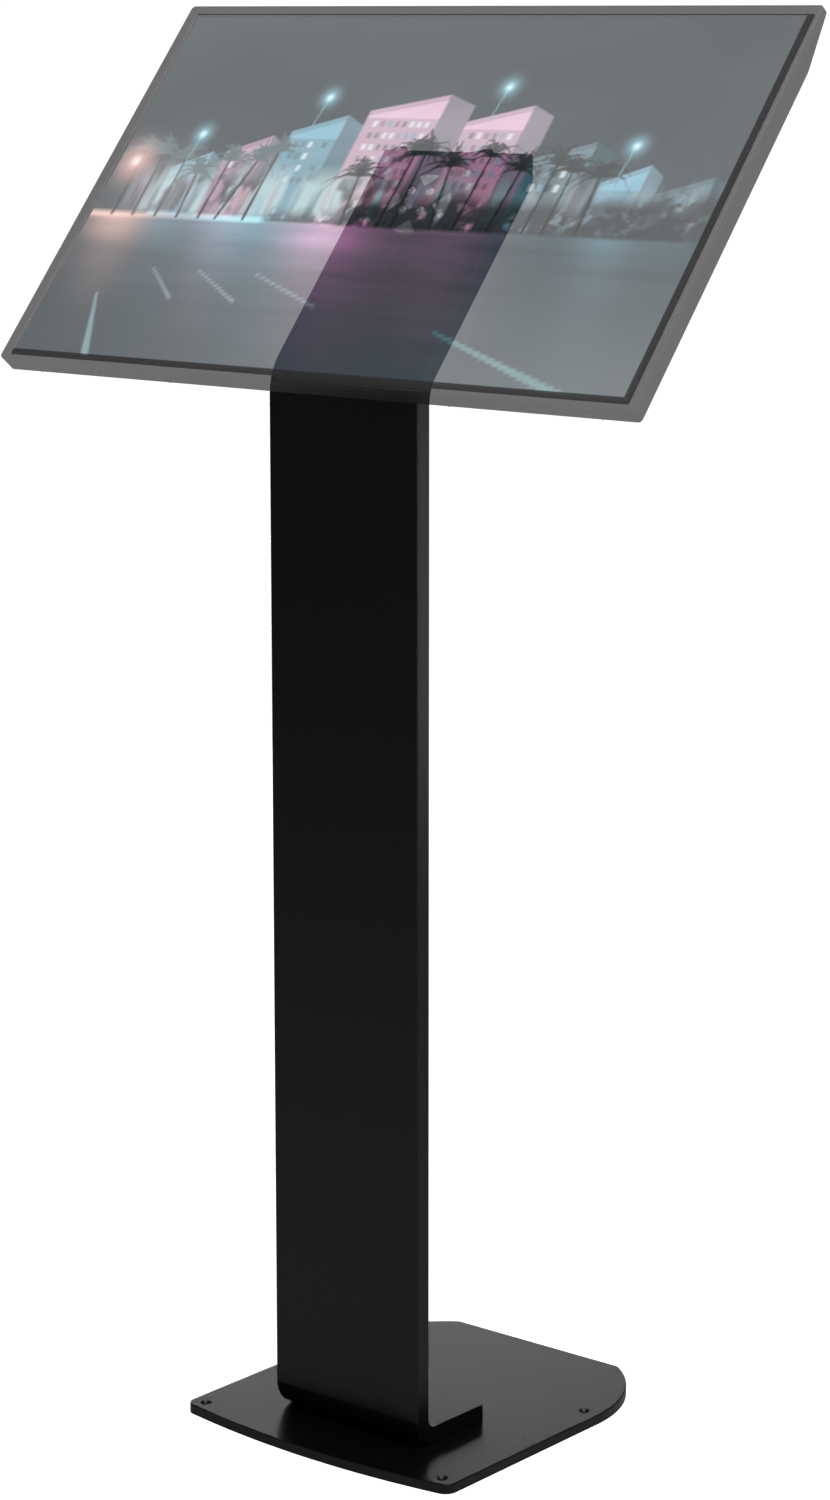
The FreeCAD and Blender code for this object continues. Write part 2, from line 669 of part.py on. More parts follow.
def stadium(width, height, thickness):
    """A plate with half-round ends, centred on Z and standing on z = 0."""
    return rounded_slab(0, 0, width, height, height / 2 - 0.01, 0, thickness)


def foot_end_plate():
    plate = box(-INNER_X, INNER_X, FOOT_END_Y - END_T, FOOT_END_Y,
                PLATE_TOP + FACE_T, PLATE_TOP + COLUMN_DEPTH)
    hole = stadium(EXIT_WIDTH, EXIT_HEIGHT, END_T + 2)
    return plate.cut(placed_back(hole, FOOT_END_Y - END_T - 1))


def placed_back(shape, y):
    """Stand a flat shape upright, facing backwards, at y in the middle of the cable exit."""
    turned = shape.copy()
    turned.Placement = FreeCAD.Placement(V(0, y, exit_centre_z()), FreeCAD.Rotation(ACROSS, -90))
    return turned


def grommet(inner, sheet_hole, lip, sheet_t, make):
    """A rubber edging: a sleeve in the sheet's hole with a lip on each side."""
    low = make(lip[0], lip[1], LIP_T)
    high = low.copy()
    high.translate(V(0, 0, LIP_T + sheet_t))
    sleeve = make(sheet_hole[0] - FIT, sheet_hole[1] - FIT, sheet_t)
    sleeve.translate(V(0, 0, LIP_T))
    hole = make(inner[0], inner[1], sheet_t + 2 * LIP_T + 2)
    hole.translate(V(0, 0, -1))
    return low.fuse([high, sleeve]).cut(hole).removeSplitter()


def cable_exit_grommet():
    inner = (EXIT_WIDTH - 2 * GROMMET_WALL, EXIT_HEIGHT - 2 * GROMMET_WALL)
    lip_height = min(EXIT_HEIGHT + GROMMET_LIP, DUCT_DEPTH - FIT)
    lip = (EXIT_WIDTH + GROMMET_LIP * 2, lip_height)
    ring_shape = grommet(inner, (EXIT_WIDTH, EXIT_HEIGHT), lip, END_T, stadium)
    return placed_back(ring_shape, FOOT_END_Y - END_T - LIP_T)


def cable_slot_grommet():
    def plate(width, height, thickness):
        return rounded_slab(0, 0, width, height, SLOT_R, 0, thickness)
    inner = (SLOT_WIDTH - 2 * GROMMET_WALL, SLOT_LENGTH - 2 * GROMMET_WALL)
    lip = (SLOT_WIDTH + 2 * GROMMET_LIP, SLOT_LENGTH + 2 * GROMMET_LIP)
    edging = grommet(inner, (SLOT_WIDTH, SLOT_LENGTH), lip, FACE_T, plate)
    edging.translate(V(0, SLOT_BOTTOM + SLOT_LENGTH / 2, -FACE_T - LIP_T))
    return on_head(edging)


def head_end_plate():
    plug = band(FACE_T, COLUMN_DEPTH, -INNER_X, INNER_X)
    return plug.common(space(y0=HEAD_END_Y - END_T, z0=SPLIT_Z))


def cable_clips():
    """Saddles on the front sheet's inner face that hold the display's cable in the duct."""
    half, reach, height = CLIP_WIDTH / 2, CLIP_LENGTH / 2, DUCT_DEPTH * 0.7
    inside = COLUMN_Y + FACE_T
    low, high = column_tab_heights()[0], column_tab_heights()[-1]
    clips = []
    for i in range(CLIP_COUNT):
        z = low + (high - low) * (i + 0.5) / CLIP_COUNT
        outer = box(-half, half, inside, inside + height, z - reach, z + reach)
        gap = box(CLIP_WALL - half, half - CLIP_WALL, inside, inside + height - CLIP_WALL,
                  z - reach - 1, z + reach + 1)
        feet = box(-half - CLIP_FOOT, half + CLIP_FOOT, inside, inside + CLIP_WALL,
                   z - reach, z + reach)
        clips.append(outer.fuse(feet).cut(gap).removeSplitter())
    return group(clips)


# ---------------------------------------------------------------- turntable
def head_backing_plate():
    low = SLOT_BOTTOM + SLOT_LENGTH + GROMMET_LIP + 1
    width = 2 * (HUB_BASE_R + BACKING_OVERHANG)
    plate = rounded_slab(0, HUB_L, width, 2 * (HUB_L - low), BACKING_R, -FACE_T - BACKING_T, -FACE_T)
    holes = [rod(r + (FIT if r == PIVOT_R else THREAD_FIT), x, l, -COLUMN_DEPTH, 0)
             for r, x, l in hub_holes()]
    return on_head(cut_all(plate, holes))


def turntable_base():
    body = rod(HUB_BASE_R, 0, HUB_L, 0, HUB_BASE_T)
    sink = HUB_SCREW_HEAD_R - M5
    cuts = [rod(PIVOT_R + FIT, 0, HUB_L, -1, HUB_BASE_T + 1),
            rod(STOP_PIN_R + THREAD_FIT, 0, HUB_L + STOP_PITCH_R, HUB_BASE_T - STOP_PIN_SEAT,
                HUB_BASE_T + 1)]
    for x, l in hub_screw_places():
        cuts.append(rod(M5 + FIT, x, l, -1, HUB_BASE_T + 1))
        cuts.append(cone(M5 + FIT, M5 + FIT + sink, x, l, HUB_BASE_T - sink, HUB_BASE_T))
    return on_head(cut_all(body, cuts))


def turntable_screws():
    screw = sunk_screw(M5, HUB_BASE_T + FACE_T + BACKING_T, HUB_SCREW_HEAD_R, HUB_SCREW_KEY)
    return on_head(copies(screw, hub_screw_places(), HUB_BASE_T))


def stop_pin():
    top = DISC_BACK + STOP_DEPTH - STOP_CLEAR
    return on_head(rod(STOP_PIN_R, 0, HUB_L + STOP_PITCH_R, HUB_BASE_T - STOP_PIN_SEAT, top))


def friction_washer():
    return on_head(ring(PIVOT_R + FIT, WASHER_R, 0, HUB_L, HUB_BASE_T, DISC_BACK - THREAD_FIT))


def pivot_bolt():
    tip = -FACE_T - BACKING_T - SPRING_T - NUT_T
    seat = DISC_FRONT - PIVOT_HEAD_T
    top = DISC_FRONT - 2 * THREAD_FIT
    head = rod(PIVOT_HEAD_R, 0, HUB_L, seat, top)
    head = head.cut(hexagon(PIVOT_KEY, 0, HUB_L, top - PIVOT_KEY_DEPTH, DISC_FRONT + 1))
    return on_head(head.fuse(rod(PIVOT_R, 0, HUB_L, tip, seat)).removeSplitter())


def spring_washer():
    back = -FACE_T - BACKING_T
    return on_head(ring(PIVOT_R + FIT, SPRING_R, 0, HUB_L, back - SPRING_T, back))


def pivot_nut():
    front = -FACE_T - BACKING_T - SPRING_T
    nut = hexagon(NUT_WIDTH, 0, HUB_L, front - NUT_T, front)
    return on_head(nut.cut(rod(PIVOT_R + THREAD_FIT, 0, HUB_L, front - NUT_T - 1, front + 1)))


def stop_groove():
    """The arc in the disc's back that runs over the stop pin, from the pin to a quarter turn away."""
    half = STOP_PIN_R + SLIDE_FIT
    first, last = math.radians(90 - ROTATION), math.radians(90)

    def at(angle, r, ahead=0.0):
        return V(r * math.cos(angle) - ahead * math.sin(angle),
                 r * math.sin(angle) + ahead * math.cos(angle), 0)

    def arc(a, b, c):
        return Part.Arc(a, b, c).toShape()

    inner, outer, mid = STOP_PITCH_R - half, STOP_PITCH_R + half, (first + last) / 2
    loop = [arc(at(first, outer), at(mid, outer), at(last, outer)),
            arc(at(last, outer), at(last, STOP_PITCH_R, half), at(last, inner)),
            arc(at(last, inner), at(mid, inner), at(first, inner)),
            arc(at(first, inner), at(first, STOP_PITCH_R, -half), at(first, outer))]
    groove = Part.Face(Part.Wire(loop)).extrude(V(0, 0, STOP_DEPTH + 1))
    groove.translate(V(0, HUB_L, DISC_BACK - 1))
    return groove


def spider_screw_places():
    half = SPIDER_SCREW_PITCH / 2
    return [(sx * half, HUB_L + sl * half) for sx in (-1, 1) for sl in (-1, 1)]


def turntable_disc():
    disc = rod(DISC_R, 0, HUB_L, DISC_BACK, DISC_FRONT)
    rim = [e for e in disc.Edges if len(e.Vertexes) == 1]
    disc = disc.makeChamfer(DISC_EDGE, rim)
    seat = DISC_FRONT - PIVOT_HEAD_T - THREAD_FIT
    cuts = [rod(PIVOT_R + RUNNING_FIT, 0, HUB_L, 0, DISC_FRONT + 1),
            rod(PIVOT_HEAD_R + SLIDE_FIT, 0, HUB_L, seat, DISC_FRONT + 1), stop_groove()]
    cuts += [rod(M5 + THREAD_FIT, x, l, DISC_BACK - 1, DISC_FRONT + 1)
             for x, l in spider_screw_places()]
    return on_head(cut_all(disc, cuts))


def spider_arm(angle):
    """One bar across the hub, with round ends past the outer holes."""
    reach = VESA_OUTER * math.sqrt(2)
    bar = stadium(reach + ARM_WIDTH, ARM_WIDTH, SPIDER_T)
    bar.Placement = FreeCAD.Placement(V(0, HUB_L, DISC_FRONT), FreeCAD.Rotation(UP, angle))
    return bar


def spider_plate():
    plate = spider_arm(45).fuse(spider_arm(-45)).removeSplitter()
    corner = ARM_WIDTH / math.sqrt(2)
    mid = DISC_FRONT + SPIDER_T / 2
    crotches = [V(corner, HUB_L, mid), V(-corner, HUB_L, mid),
                V(0, HUB_L + corner, mid), V(0, HUB_L - corner, mid)]
    plate = plate.makeFillet(ARM_CROTCH_R, edges_near(plate, crotches))
    rim = [e for e in plate.Edges if abs(middle(e).z - SPIDER_FRONT) < 0.01]
    plate = plate.makeFillet(DISC_EDGE, rim)
    cuts = [rod(VESA_HOLE_R, x, l, DISC_FRONT - 1, SPIDER_FRONT + 1)
            for size in (VESA_OUTER, VESA_INNER) for x, l in vesa_places(size)]
    cuts += [rod(M5 + FIT, x, l, DISC_FRONT - 1, SPIDER_FRONT + 1)
             for x, l in spider_screw_places()]
    return on_head(cut_all(plate, cuts))


def vesa_places(size):
    return [(sx * size / 2, HUB_L + sl * size / 2) for sx in (-1, 1) for sl in (-1, 1)]


def spider_screws():
    length = SPIDER_T + DISC_T - SPIDER_SCREW_SHORT
    screw = button_screw(M5, length, SPIDER_HEAD_R, SPIDER_HEAD_T, SPIDER_KEY)
    return on_head(copies(screw, spider_screw_places(), SPIDER_FRONT))


def vesa_screws():
    length = SPIDER_T + INSERT_LENGTH - SPIDER_SCREW_SHORT
    screw = button_screw(M4, length, VESA_HEAD_R, VESA_HEAD_T, VESA_KEY)
    screw = placed(screw, V(0, 0, 0), V(0, 0, -1))
    return on_head(copies(screw, vesa_places(VESA_OUTER), DISC_FRONT))


def vesa_inserts():
    return on_head(group([ring(M4 + THREAD_FIT, INSERT_R, x, l, HOUSING_N, HOUSING_N + INSERT_LENGTH)
                          for x, l in vesa_places(VESA_OUTER)]))


# ---------------------------------------------------------------- rear housing and its boards
def housing_centre():
    return (HOUSING_RIGHT - HOUSING_LEFT) / 2, HUB_L + (HOUSING_ABOVE - HOUSING_BELOW) / 2


def housing_size():
    return HOUSING_LEFT + HOUSING_RIGHT, HOUSING_BELOW + HOUSING_ABOVE


def housing_ears():
    """x, l and the side of the housing (1 above, -1 below), for the six screw ears."""
    cx, cl = housing_centre()
    width, height = housing_size()
    reach = height / 2 + EAR_INSET
    return [(cx + s * width / 3, cl + side * reach, side) for side in (1, -1) for s in (-1, 0, 1)]


def rear_housing():
    cx, cl = housing_centre()
    width, height = housing_size()
    shell = rounded_slab(cx, cl, width, height, HOUSING_R, HOUSING_N, BODY_BACK)
    rim = [e for e in shell.Edges if abs(middle(e).z - HOUSING_N) < 0.01]
    shell = shell.makeFillet(HOUSING_EDGE_R, rim)
    hollow = rounded_slab(cx, cl, width - 2 * SHELL_T, height - 2 * SHELL_T,
                          HOUSING_R - SHELL_T, HOUSING_N + SHELL_T, BODY_BACK + 1)
    shell = shell.cut(hollow)
    ears = []
    for x, l, side in housing_ears():
        inner, outer = l - side * (EAR_INSET + 1), l + side * EAR_INSET
        ears.append(box(x - EAR_LENGTH / 2, x + EAR_LENGTH / 2, min(inner, outer), max(inner, outer),
                        BODY_BACK - EAR_T, BODY_BACK))
    bosses = [rod(INSERT_R + BOSS_WALL, x, l, HOUSING_N + 1, HOUSING_N + INSERT_LENGTH + SHELL_T)
              for x, l in vesa_places(VESA_OUTER)]
    cup_floor = HOUSING_N + SPIDER_HEAD_T + HUB_CUP_DEPTH
    cup = rod(CUP_R + SHELL_T, 0, HUB_L, HOUSING_N + 1, cup_floor + SHELL_T)
    shell = shell.fuse(ears + bosses + [cup]).removeSplitter()
    cuts = [rod(INSERT_R + THREAD_FIT, x, l, HOUSING_N - 1, HOUSING_N + INSERT_LENGTH)
            for x, l in vesa_places(VESA_OUTER)]
    cuts.append(rod(CUP_R, 0, HUB_L, HOUSING_N - 1, cup_floor))
    cuts += [rod(M3 + FIT, x, l, BODY_BACK - EAR_T - 1, BODY_BACK + 1)
             for x, l, side in housing_ears()]
    cuts += housing_vents() + [socket_cut(s) for s in sockets()]
    return on_head(cut_all(shell, cuts))


def housing_vents():
    """A row of slots beside the hub."""
    start, half = HOUSING_RIGHT - HOUSING_VENT_INSET, HOUSING_VENT_LENGTH / 2
    centres = [start - i * HOUSING_VENT_PITCH for i in range(HOUSING_VENTS)]
    return slot_row(centres, HUB_L - half, HUB_L + half, VENT_WIDTH, HOUSING_N - 1,
                    HOUSING_N + SHELL_T + 1)


def housing_screws():
    screw = placed(cover_screw(EAR_T + SHELL_T), V(0, 0, 0), V(0, 0, -1))
    places = [(x, l) for x, l, side in housing_ears()]
    return on_head(copies(screw, places, BODY_BACK - EAR_T))


def board_box(name):
    """x0, x1, l0, l1 of each board in the rear housing, clear of the mounting bosses."""
    boss = VESA_OUTER / 2 + INSERT_R + BOSS_WALL + 1.5
    low = HUB_L - HOUSING_BELOW + HOUSING_R
    high = HUB_L + HOUSING_ABOVE - HOUSING_R
    if name == "main":
        return -HOUSING_LEFT + SHELL_T + FIT, -boss, low, high
    return boss, HOUSING_RIGHT - SHELL_T - 3, low, high


def board_corners(name):
    x0, x1, l0, l1 = board_box(name)
    return [(x, l) for x in (x0 + 7, x1 - 5) for l in (l0 + 5, l1 - 5)]


def board(name, chips):
    """A circuit board; each chip is its middle as shares of the board, width, length and height."""
    x0, x1, l0, l1 = board_box(name)
    solid = box(x0, x1, l0, l1, BOARD_N, BOARD_FRONT)
    solid = cut_all(solid, [rod(M3, x, l, BOARD_N - 1, BOARD_FRONT + 1)
                            for x, l in board_corners(name)])
    blocks = []
    for share_x, share_l, width, length, height in chips:
        x, l = x0 + share_x * (x1 - x0), l0 + share_l * (l1 - l0)
        top = min(BOARD_FRONT + height, BODY_BACK - 0.5)
        blocks.append(box(x - width / 2, x + width / 2, l - length / 2, l + length / 2,
                          BOARD_FRONT, top))
    return solid.fuse(blocks).removeSplitter()


def main_board():
    chips = [(0.66, 0.62, 24, 24, 1.6), (0.66, 0.36, 14, 18, 1.2), (0.84, 0.86, 8, 12, 3.0),
             (0.56, 0.14, 12, 8, 2.0), (0.80, 0.12, 6, 10, 4.0)]
    return on_head(board("main", chips))


def power_board():
    chips = [(0.3, 0.25, 26, 30, 6.0), (0.72, 0.22, 14, 14, 6.0), (0.72, 0.45, 10, 22, 5.0),
             (0.3, 0.55, 18, 12, 4.5), (0.5, 0.84, 40, 8, 5.5)]
    return on_head(board("power", chips))


def board_standoffs():
    posts = []
    for name in ("main", "power"):
        for x, l in board_corners(name):
            posts.append(rod(POST_R, x, l, HOUSING_N + SHELL_T, BOARD_N))
    return on_head(group(posts))


def sockets():
    """Each socket in the housing's left wall: kind, l of its middle, width along l, height along n."""
    start = HUB_L - HOUSING_BELOW + 24
    return [("jack", start, 9.0, 7.0), ("wide", start + 24, 15.0, 5.6),
            ("usb", start + 46, 13.2, 5.8), ("usb", start + 66, 13.2, 5.8)]


def socket_cut(socket):
    kind, l, width, height = socket
    return box(-HOUSING_LEFT - 1, -HOUSING_LEFT + SHELL_T + 1, l - width / 2 - FIT,
               l + width / 2 + FIT, BOARD_FRONT - FIT, BOARD_FRONT + height + FIT)


def socket_shell(socket):
    """A metal socket with its mouth to the left and a tongue inside."""
    kind, l, width, height = socket
    mouth, back = -HOUSING_LEFT - SOCKET_PROUD, -HOUSING_LEFT + SOCKET_DEPTH
    half, top, middle_n = width / 2, BOARD_FRONT + height, BOARD_FRONT + height / 2
    shell = box(mouth, back, l - half, l + half, BOARD_FRONT, top)
    shell = shell.cut(box(mouth - 1, back - 2, l - half + SOCKET_WALL, l + half - SOCKET_WALL,
                          BOARD_FRONT + SOCKET_WALL, top - SOCKET_WALL))
    tongue = box(mouth + 1.5, back - 1, l - half + 2, l + half - 2,
                 middle_n - TONGUE_T / 2, middle_n + TONGUE_T / 2)
    return shell.fuse(tongue).removeSplitter()


def port_block():
    return on_head(group([socket_shell(s) for s in sockets() if s[0] != "jack"]))


def dc_power_jack():
    kind, l, width, height = sockets()[0]
    mouth, back = -HOUSING_LEFT - SOCKET_PROUD, -HOUSING_LEFT + JACK_DEPTH
    body = box(mouth, back, l - width / 2, l + width / 2, BOARD_FRONT, BOARD_FRONT + height)
    centre = V(mouth - 1, l, BOARD_FRONT + height / 2)
    body = body.cut(Part.makeCylinder(JACK_BORE_R, back - mouth - 2, centre, ACROSS))
    pin = Part.makeCylinder(JACK_PIN_R, back - mouth - 2, centre + V(2, 0, 0), ACROSS)
    return on_head(body.fuse(pin).removeSplitter())


# ---------------------------------------------------------------- display shells
def display_profile(inset, back, front):
    """The back cover's (l, n) outline, inset by a wall's thickness: flat, then rising to the top."""
    slope = TAPER_SLOPE
    lift = inset * math.sqrt(1 + slope ** 2)
    low, high = DISPLAY_LOW + inset, DISPLAY_HIGH - inset
    top_n = SCREEN_N - TOP_EDGE_T + lift - inset * slope
    if top_n < front:
        corner = [(high, front), (high, top_n)]
    else:
        corner = [(high - (top_n - front) / slope, front)]
    knee = high - (top_n - back) / slope
    return [(low, front)] + corner + [(knee, back), (low, back)]


def frame_screw_places():
    """x and l of the back cover's screws."""
    low = DISPLAY_LOW + COVER_SCREW_LOW
    side = DISPLAY_WIDTH / 2 - COVER_SCREW_SIDE
    bottom = [(i * side * 0.45, low) for i in (-2, -1, 0, 1, 2)]
    sides = [(s * side, DISPLAY_LOW + f * DISPLAY_HEIGHT) for s in (-1, 1) for f in (0.08, 0.45, 0.78)]
    return bottom + sides


def display_back_cover():
    half = DISPLAY_WIDTH / 2
    outer = prism(display_profile(0, BODY_BACK, FRAME_BACK), -half, half)
    outer = outer.common(rounded_slab(0, DISPLAY_L, DISPLAY_WIDTH, DISPLAY_HEIGHT,
                                      DISPLAY_CORNER_R, BODY_BACK, FRAME_BACK))
    rear = [e for e in outer.Edges if abs(middle(e).z - BODY_BACK) < 0.01
            and abs(middle(e).y - DISPLAY_HIGH + TAPER_LENGTH) > 1]
    outer = outer.makeFillet(REAR_EDGE_R, rear)
    inner = half - SHELL_T
    hollow = prism(display_profile(SHELL_T, SHELL_INNER, FRAME_BACK + 1), -inner, inner)
    shell = outer.cut(hollow)
    bosses = [rod(COVER_BOSS_R, x, l, SHELL_INNER - 1, FRAME_BACK) for x, l in frame_screw_places()]
    posts = [rod(KEY_POST_R, KEY_X - KEY_POST_X, l, SHELL_INNER - 1, KEY_BOARD_N)
             for l in (KEY_LOW - KEY_LENGTH, KEY_HIGH + KEY_LENGTH)]
    bosses = [b.common(outer) for b in bosses + posts]
    shell = shell.fuse(bosses).removeSplitter()
    return on_head(cut_all(shell, back_cover_cuts()))


def back_cover_cuts():
    inside, outside = SHELL_INNER + 1, BODY_BACK - 1
    cuts = [box(WINDOW_SIDE - HOUSING_LEFT, HOUSING_RIGHT - WINDOW_SIDE, HUB_L - WINDOW_LOW,
                HUB_L + WINDOW_HIGH, outside, inside)]
    cuts += [rod(M3 + FIT, x, l, outside, FRAME_BACK + 1) for x, l in frame_screw_places()]
    cuts += [rod(M3 + THREAD_FIT, x, l, outside, inside) for x, l, side in housing_ears()]
    cuts += [rounded_slab(KEY_X, l, KEY_WIDTH + 2 * SLIDE_FIT, KEY_LENGTH + 2 * SLIDE_FIT,
                          KEY_R + SLIDE_FIT, outside, inside) for name, l in key_places()]
    return cuts + back_vents() + speaker_slots() + [lens_hole()]


def back_vents():
    """Rows of cooling slots across the display's back, above the housing."""
    middle_l = HUB_L + HOUSING_ABOVE + BACK_VENT_RISE
    low, high = middle_l - BACK_VENT_LENGTH / 2, middle_l + BACK_VENT_LENGTH / 2
    centres = [side * (BACK_VENT_START + i * BACK_VENT_PITCH)
               for side in (-1, 1) for i in range(BACK_VENTS)]
    return slot_row(centres, low, high, VENT_WIDTH, BODY_BACK - 1, SHELL_INNER + 1)


def lower_wall_hole(x, n, width, height):
    """A hole through the display's lower wall."""
    return box(x - width / 2, x + width / 2, DISPLAY_LOW - 1, DISPLAY_LOW + SHELL_T + 1,
               n - height / 2, n + height / 2)


def speaker_slots():
    """The grille under each speaker."""
    middle_n = (SHELL_INNER + CHASSIS_BACK) / 2
    offsets = [(i - (SPEAKER_SLOTS - 1) / 2) * SPEAKER_SLOT_PITCH for i in range(SPEAKER_SLOTS)]
    return [lower_wall_hole(side * SPEAKER_X + offset, middle_n, 2.0, 6.0)
            for side in (-1, 1) for offset in offsets]


def lens_hole():
    return lower_wall_hole(LENS_X, LENS_N, LENS_WIDTH, LENS_HEIGHT)


def status_lens():
    half_width, half_height = (LENS_WIDTH - FIT) / 2, (LENS_HEIGHT - FIT) / 2
    pad_low = DISPLAY_LOW + SHELL_T
    window = box(LENS_X - half_width, LENS_X + half_width, DISPLAY_LOW, pad_low,
                 LENS_N - half_height, LENS_N + half_height)
    pad = box(LENS_X - LENS_WIDTH * 0.8, LENS_X + LENS_WIDTH * 0.8, pad_low, pad_low + 1.2,
              LENS_N - LENS_HEIGHT, LENS_N + LENS_HEIGHT)
    return on_head(window.fuse(pad).removeSplitter())


def back_cover_screws():
    grip = FRAME_BACK - BODY_BACK + SCREW_SEAT - SCREW_TIP
    screw = placed(cover_screw(grip), V(0, 0, 0), V(0, 0, -1))
    return on_head(copies(screw, frame_screw_places(), BODY_BACK))


def glass_size():
    return DISPLAY_WIDTH - 2 * FRAME_LIP, DISPLAY_HEIGHT - 2 * FRAME_LIP


def front_frame():
    frame = rounded_slab(0, DISPLAY_L, DISPLAY_WIDTH, DISPLAY_HEIGHT, DISPLAY_CORNER_R,
                         FRAME_BACK, SCREEN_N)
    rim = [e for e in frame.Edges if abs(middle(e).z - SCREEN_N) < 0.01]
    frame = frame.makeFillet(FRAME_EDGE_R, rim)
    width, height = glass_size()
    seat = rounded_slab(0, DISPLAY_L, width, height, DISPLAY_CORNER_R - FRAME_LIP,
                        PANEL_FRONT, SCREEN_N + 1)
    well = rounded_slab(0, DISPLAY_L, PANEL_WIDTH + 2 * FIT, PANEL_HEIGHT + 2 * FIT, 1.0,
                        FRAME_BACK - 1, SCREEN_N)
    frame = frame.cut(seat).cut(well)
    holes = [rod(M3 + THREAD_FIT, x, l, FRAME_BACK - 1, FRAME_BACK + SCREW_SEAT + FIT)
             for x, l in frame_screw_places()]
    return on_head(cut_all(frame, holes))


def touch_glass():
    width, height = glass_size()
    glass = rounded_slab(0, DISPLAY_L, width - 2 * FIT, height - 2 * FIT,
                         DISPLAY_CORNER_R - FRAME_LIP, GLASS_BACK, SCREEN_N)
    rim = [e for e in glass.Edges if abs(middle(e).z - SCREEN_N) < 0.01]
    return on_head(glass.makeChamfer(GLASS_EDGE, rim))


def glass_gasket():
    width, height = glass_size()
    inner = (PANEL_WIDTH + 2 * FIT, PANEL_HEIGHT + 2 * FIT)
    return on_head(frame_ring(0, DISPLAY_L, (width - 1, height - 1), inner, 2.0, 1.0,
                              PANEL_FRONT, GLASS_BACK))


def touch_sensor():
    return on_head(rounded_slab(0, DISPLAY_L, PANEL_WIDTH, PANEL_HEIGHT, 1.0,
                                PANEL_FRONT, GLASS_BACK))


def lcd_panel():
    return on_head(rounded_slab(0, DISPLAY_L, PANEL_WIDTH, PANEL_HEIGHT, 1.0,
                                GUIDE_FRONT, PANEL_FRONT))


def light_guide():
    height = PANEL_HEIGHT - LED_ZONE
    return on_head(rounded_slab(0, DISPLAY_L + LED_ZONE / 2, PANEL_WIDTH, height, 1.0,
                                GUIDE_BACK, GUIDE_FRONT))


def led_strip():
    low = DISPLAY_L - PANEL_HEIGHT / 2
    half = PANEL_WIDTH / 2 - LED_ZONE
    rail = box(-half, half, low, low + LED_RAIL, GUIDE_BACK, GUIDE_FRONT)
    pitch = 2 * half / LED_COUNT
    lamps = []
    for i in range(LED_COUNT):
        x = (i + 0.5) * pitch - half
        lamps.append(box(x - LED_LENGTH / 2, x + LED_LENGTH / 2, low + LED_RAIL,
                         low + LED_ZONE - 0.6, GUIDE_BACK + FIT, GUIDE_FRONT - FIT))
    return on_head(rail.fuse(lamps).removeSplitter())


def chassis_top():
    """The chassis stops where the back cover's rising wall would meet it."""
    drop = SCREEN_N - TOP_EDGE_T + SHELL_T + CHASSIS_CLEAR - CHASSIS_BACK
    return DISPLAY_HIGH - drop / TAPER_SLOPE - CHASSIS_TOP


def panel_chassis():
    low, high = DISPLAY_L - PANEL_HEIGHT / 2 + CHASSIS_LOW, chassis_top()
    width = PANEL_WIDTH - 2 * CHASSIS_SIDE
    plate = rounded_slab(0, (low + high) / 2, width, high - low, 3.0, CHASSIS_BACK, GUIDE_BACK)
    holes = []
    for side in (-1, 1):
        for row in (0.25, 0.75):
            holes.append(rounded_slab(side * width * 0.32, low + row * (high - low), width * 0.22,
                                      (high - low) * 0.3, 12.0, CHASSIS_BACK - 1, GUIDE_BACK + 1))
    return on_head(cut_all(plate, holes))


def timing_board():
    """The panel's driver board, on the chassis, with its flat connectors."""
    low = DISPLAY_LOW + TIMING_RISE
    high, half = low + TIMING_HEIGHT, TIMING_WIDTH / 2
    front = CHASSIS_BACK - 1.0
    back = front - BOARD_T
    solid = box(-half, half, low, high, back, front)
    feet = [rod(KEY_POST_R, x, l, front, CHASSIS_BACK)
            for x in (7 - half, half - 7) for l in (low + 5, high - 5)]
    plugs = [box(x - 18, x + 18, low + 2, low + 7, back - 2.2, back) for x in (-55, 0, 55)]
    chip = box(-9, 9, high - 26, high - 8, back - 1.4, back)
    return on_head(solid.fuse(feet + plugs + [chip]).removeSplitter())


def speakers():
    """Two flat loudspeakers behind the slots in the lower wall."""
    back, front = SHELL_INNER + 0.4, CHASSIS_BACK - 0.6
    low = DISPLAY_LOW + SHELL_T + 0.5
    half = SPEAKER_MOUTH / 2
    shapes = []
    for x in (-SPEAKER_X, SPEAKER_X):
        case = rounded_slab(x, low + SPEAKER_WIDTH / 2, SPEAKER_LENGTH, SPEAKER_WIDTH, 3.0, back, front)
        mouth = box(x - half, x + half, low - 1, low + 2.5, back + 1.5, front - 1.5)
        shapes.append(case.cut(mouth))
    return on_head(group(shapes))


# ---------------------------------------------------------------- keys
def key_places():
    """Name and l of each key, from the bottom up."""
    return [(name, KEY_LOW + i * KEY_PITCH) for i, name in enumerate(KEY_NAMES)]


def key(l):
    cap = rounded_slab(KEY_X, l, KEY_WIDTH, KEY_LENGTH, KEY_R, BODY_BACK - KEY_PROUD, SHELL_INNER + 1)
    rim = [e for e in cap.Edges if abs(middle(e).z - BODY_BACK + KEY_PROUD) < 0.01]
    cap = cap.makeFillet(KEY_EDGE_R, rim)
    half_width, half_length = KEY_WIDTH / 2 + KEY_FLANGE, KEY_LENGTH / 2 + KEY_FLANGE
    flange = box(KEY_X - half_width, KEY_X + half_width, l - half_length, l + half_length,
                 SHELL_INNER + 0.15, SHELL_INNER + 1.2)
    stem = rod(1.5, KEY_X, l, SHELL_INNER + 1, SHELL_INNER + 2.2)
    return on_head(cap.fuse([flange, stem]).removeSplitter())


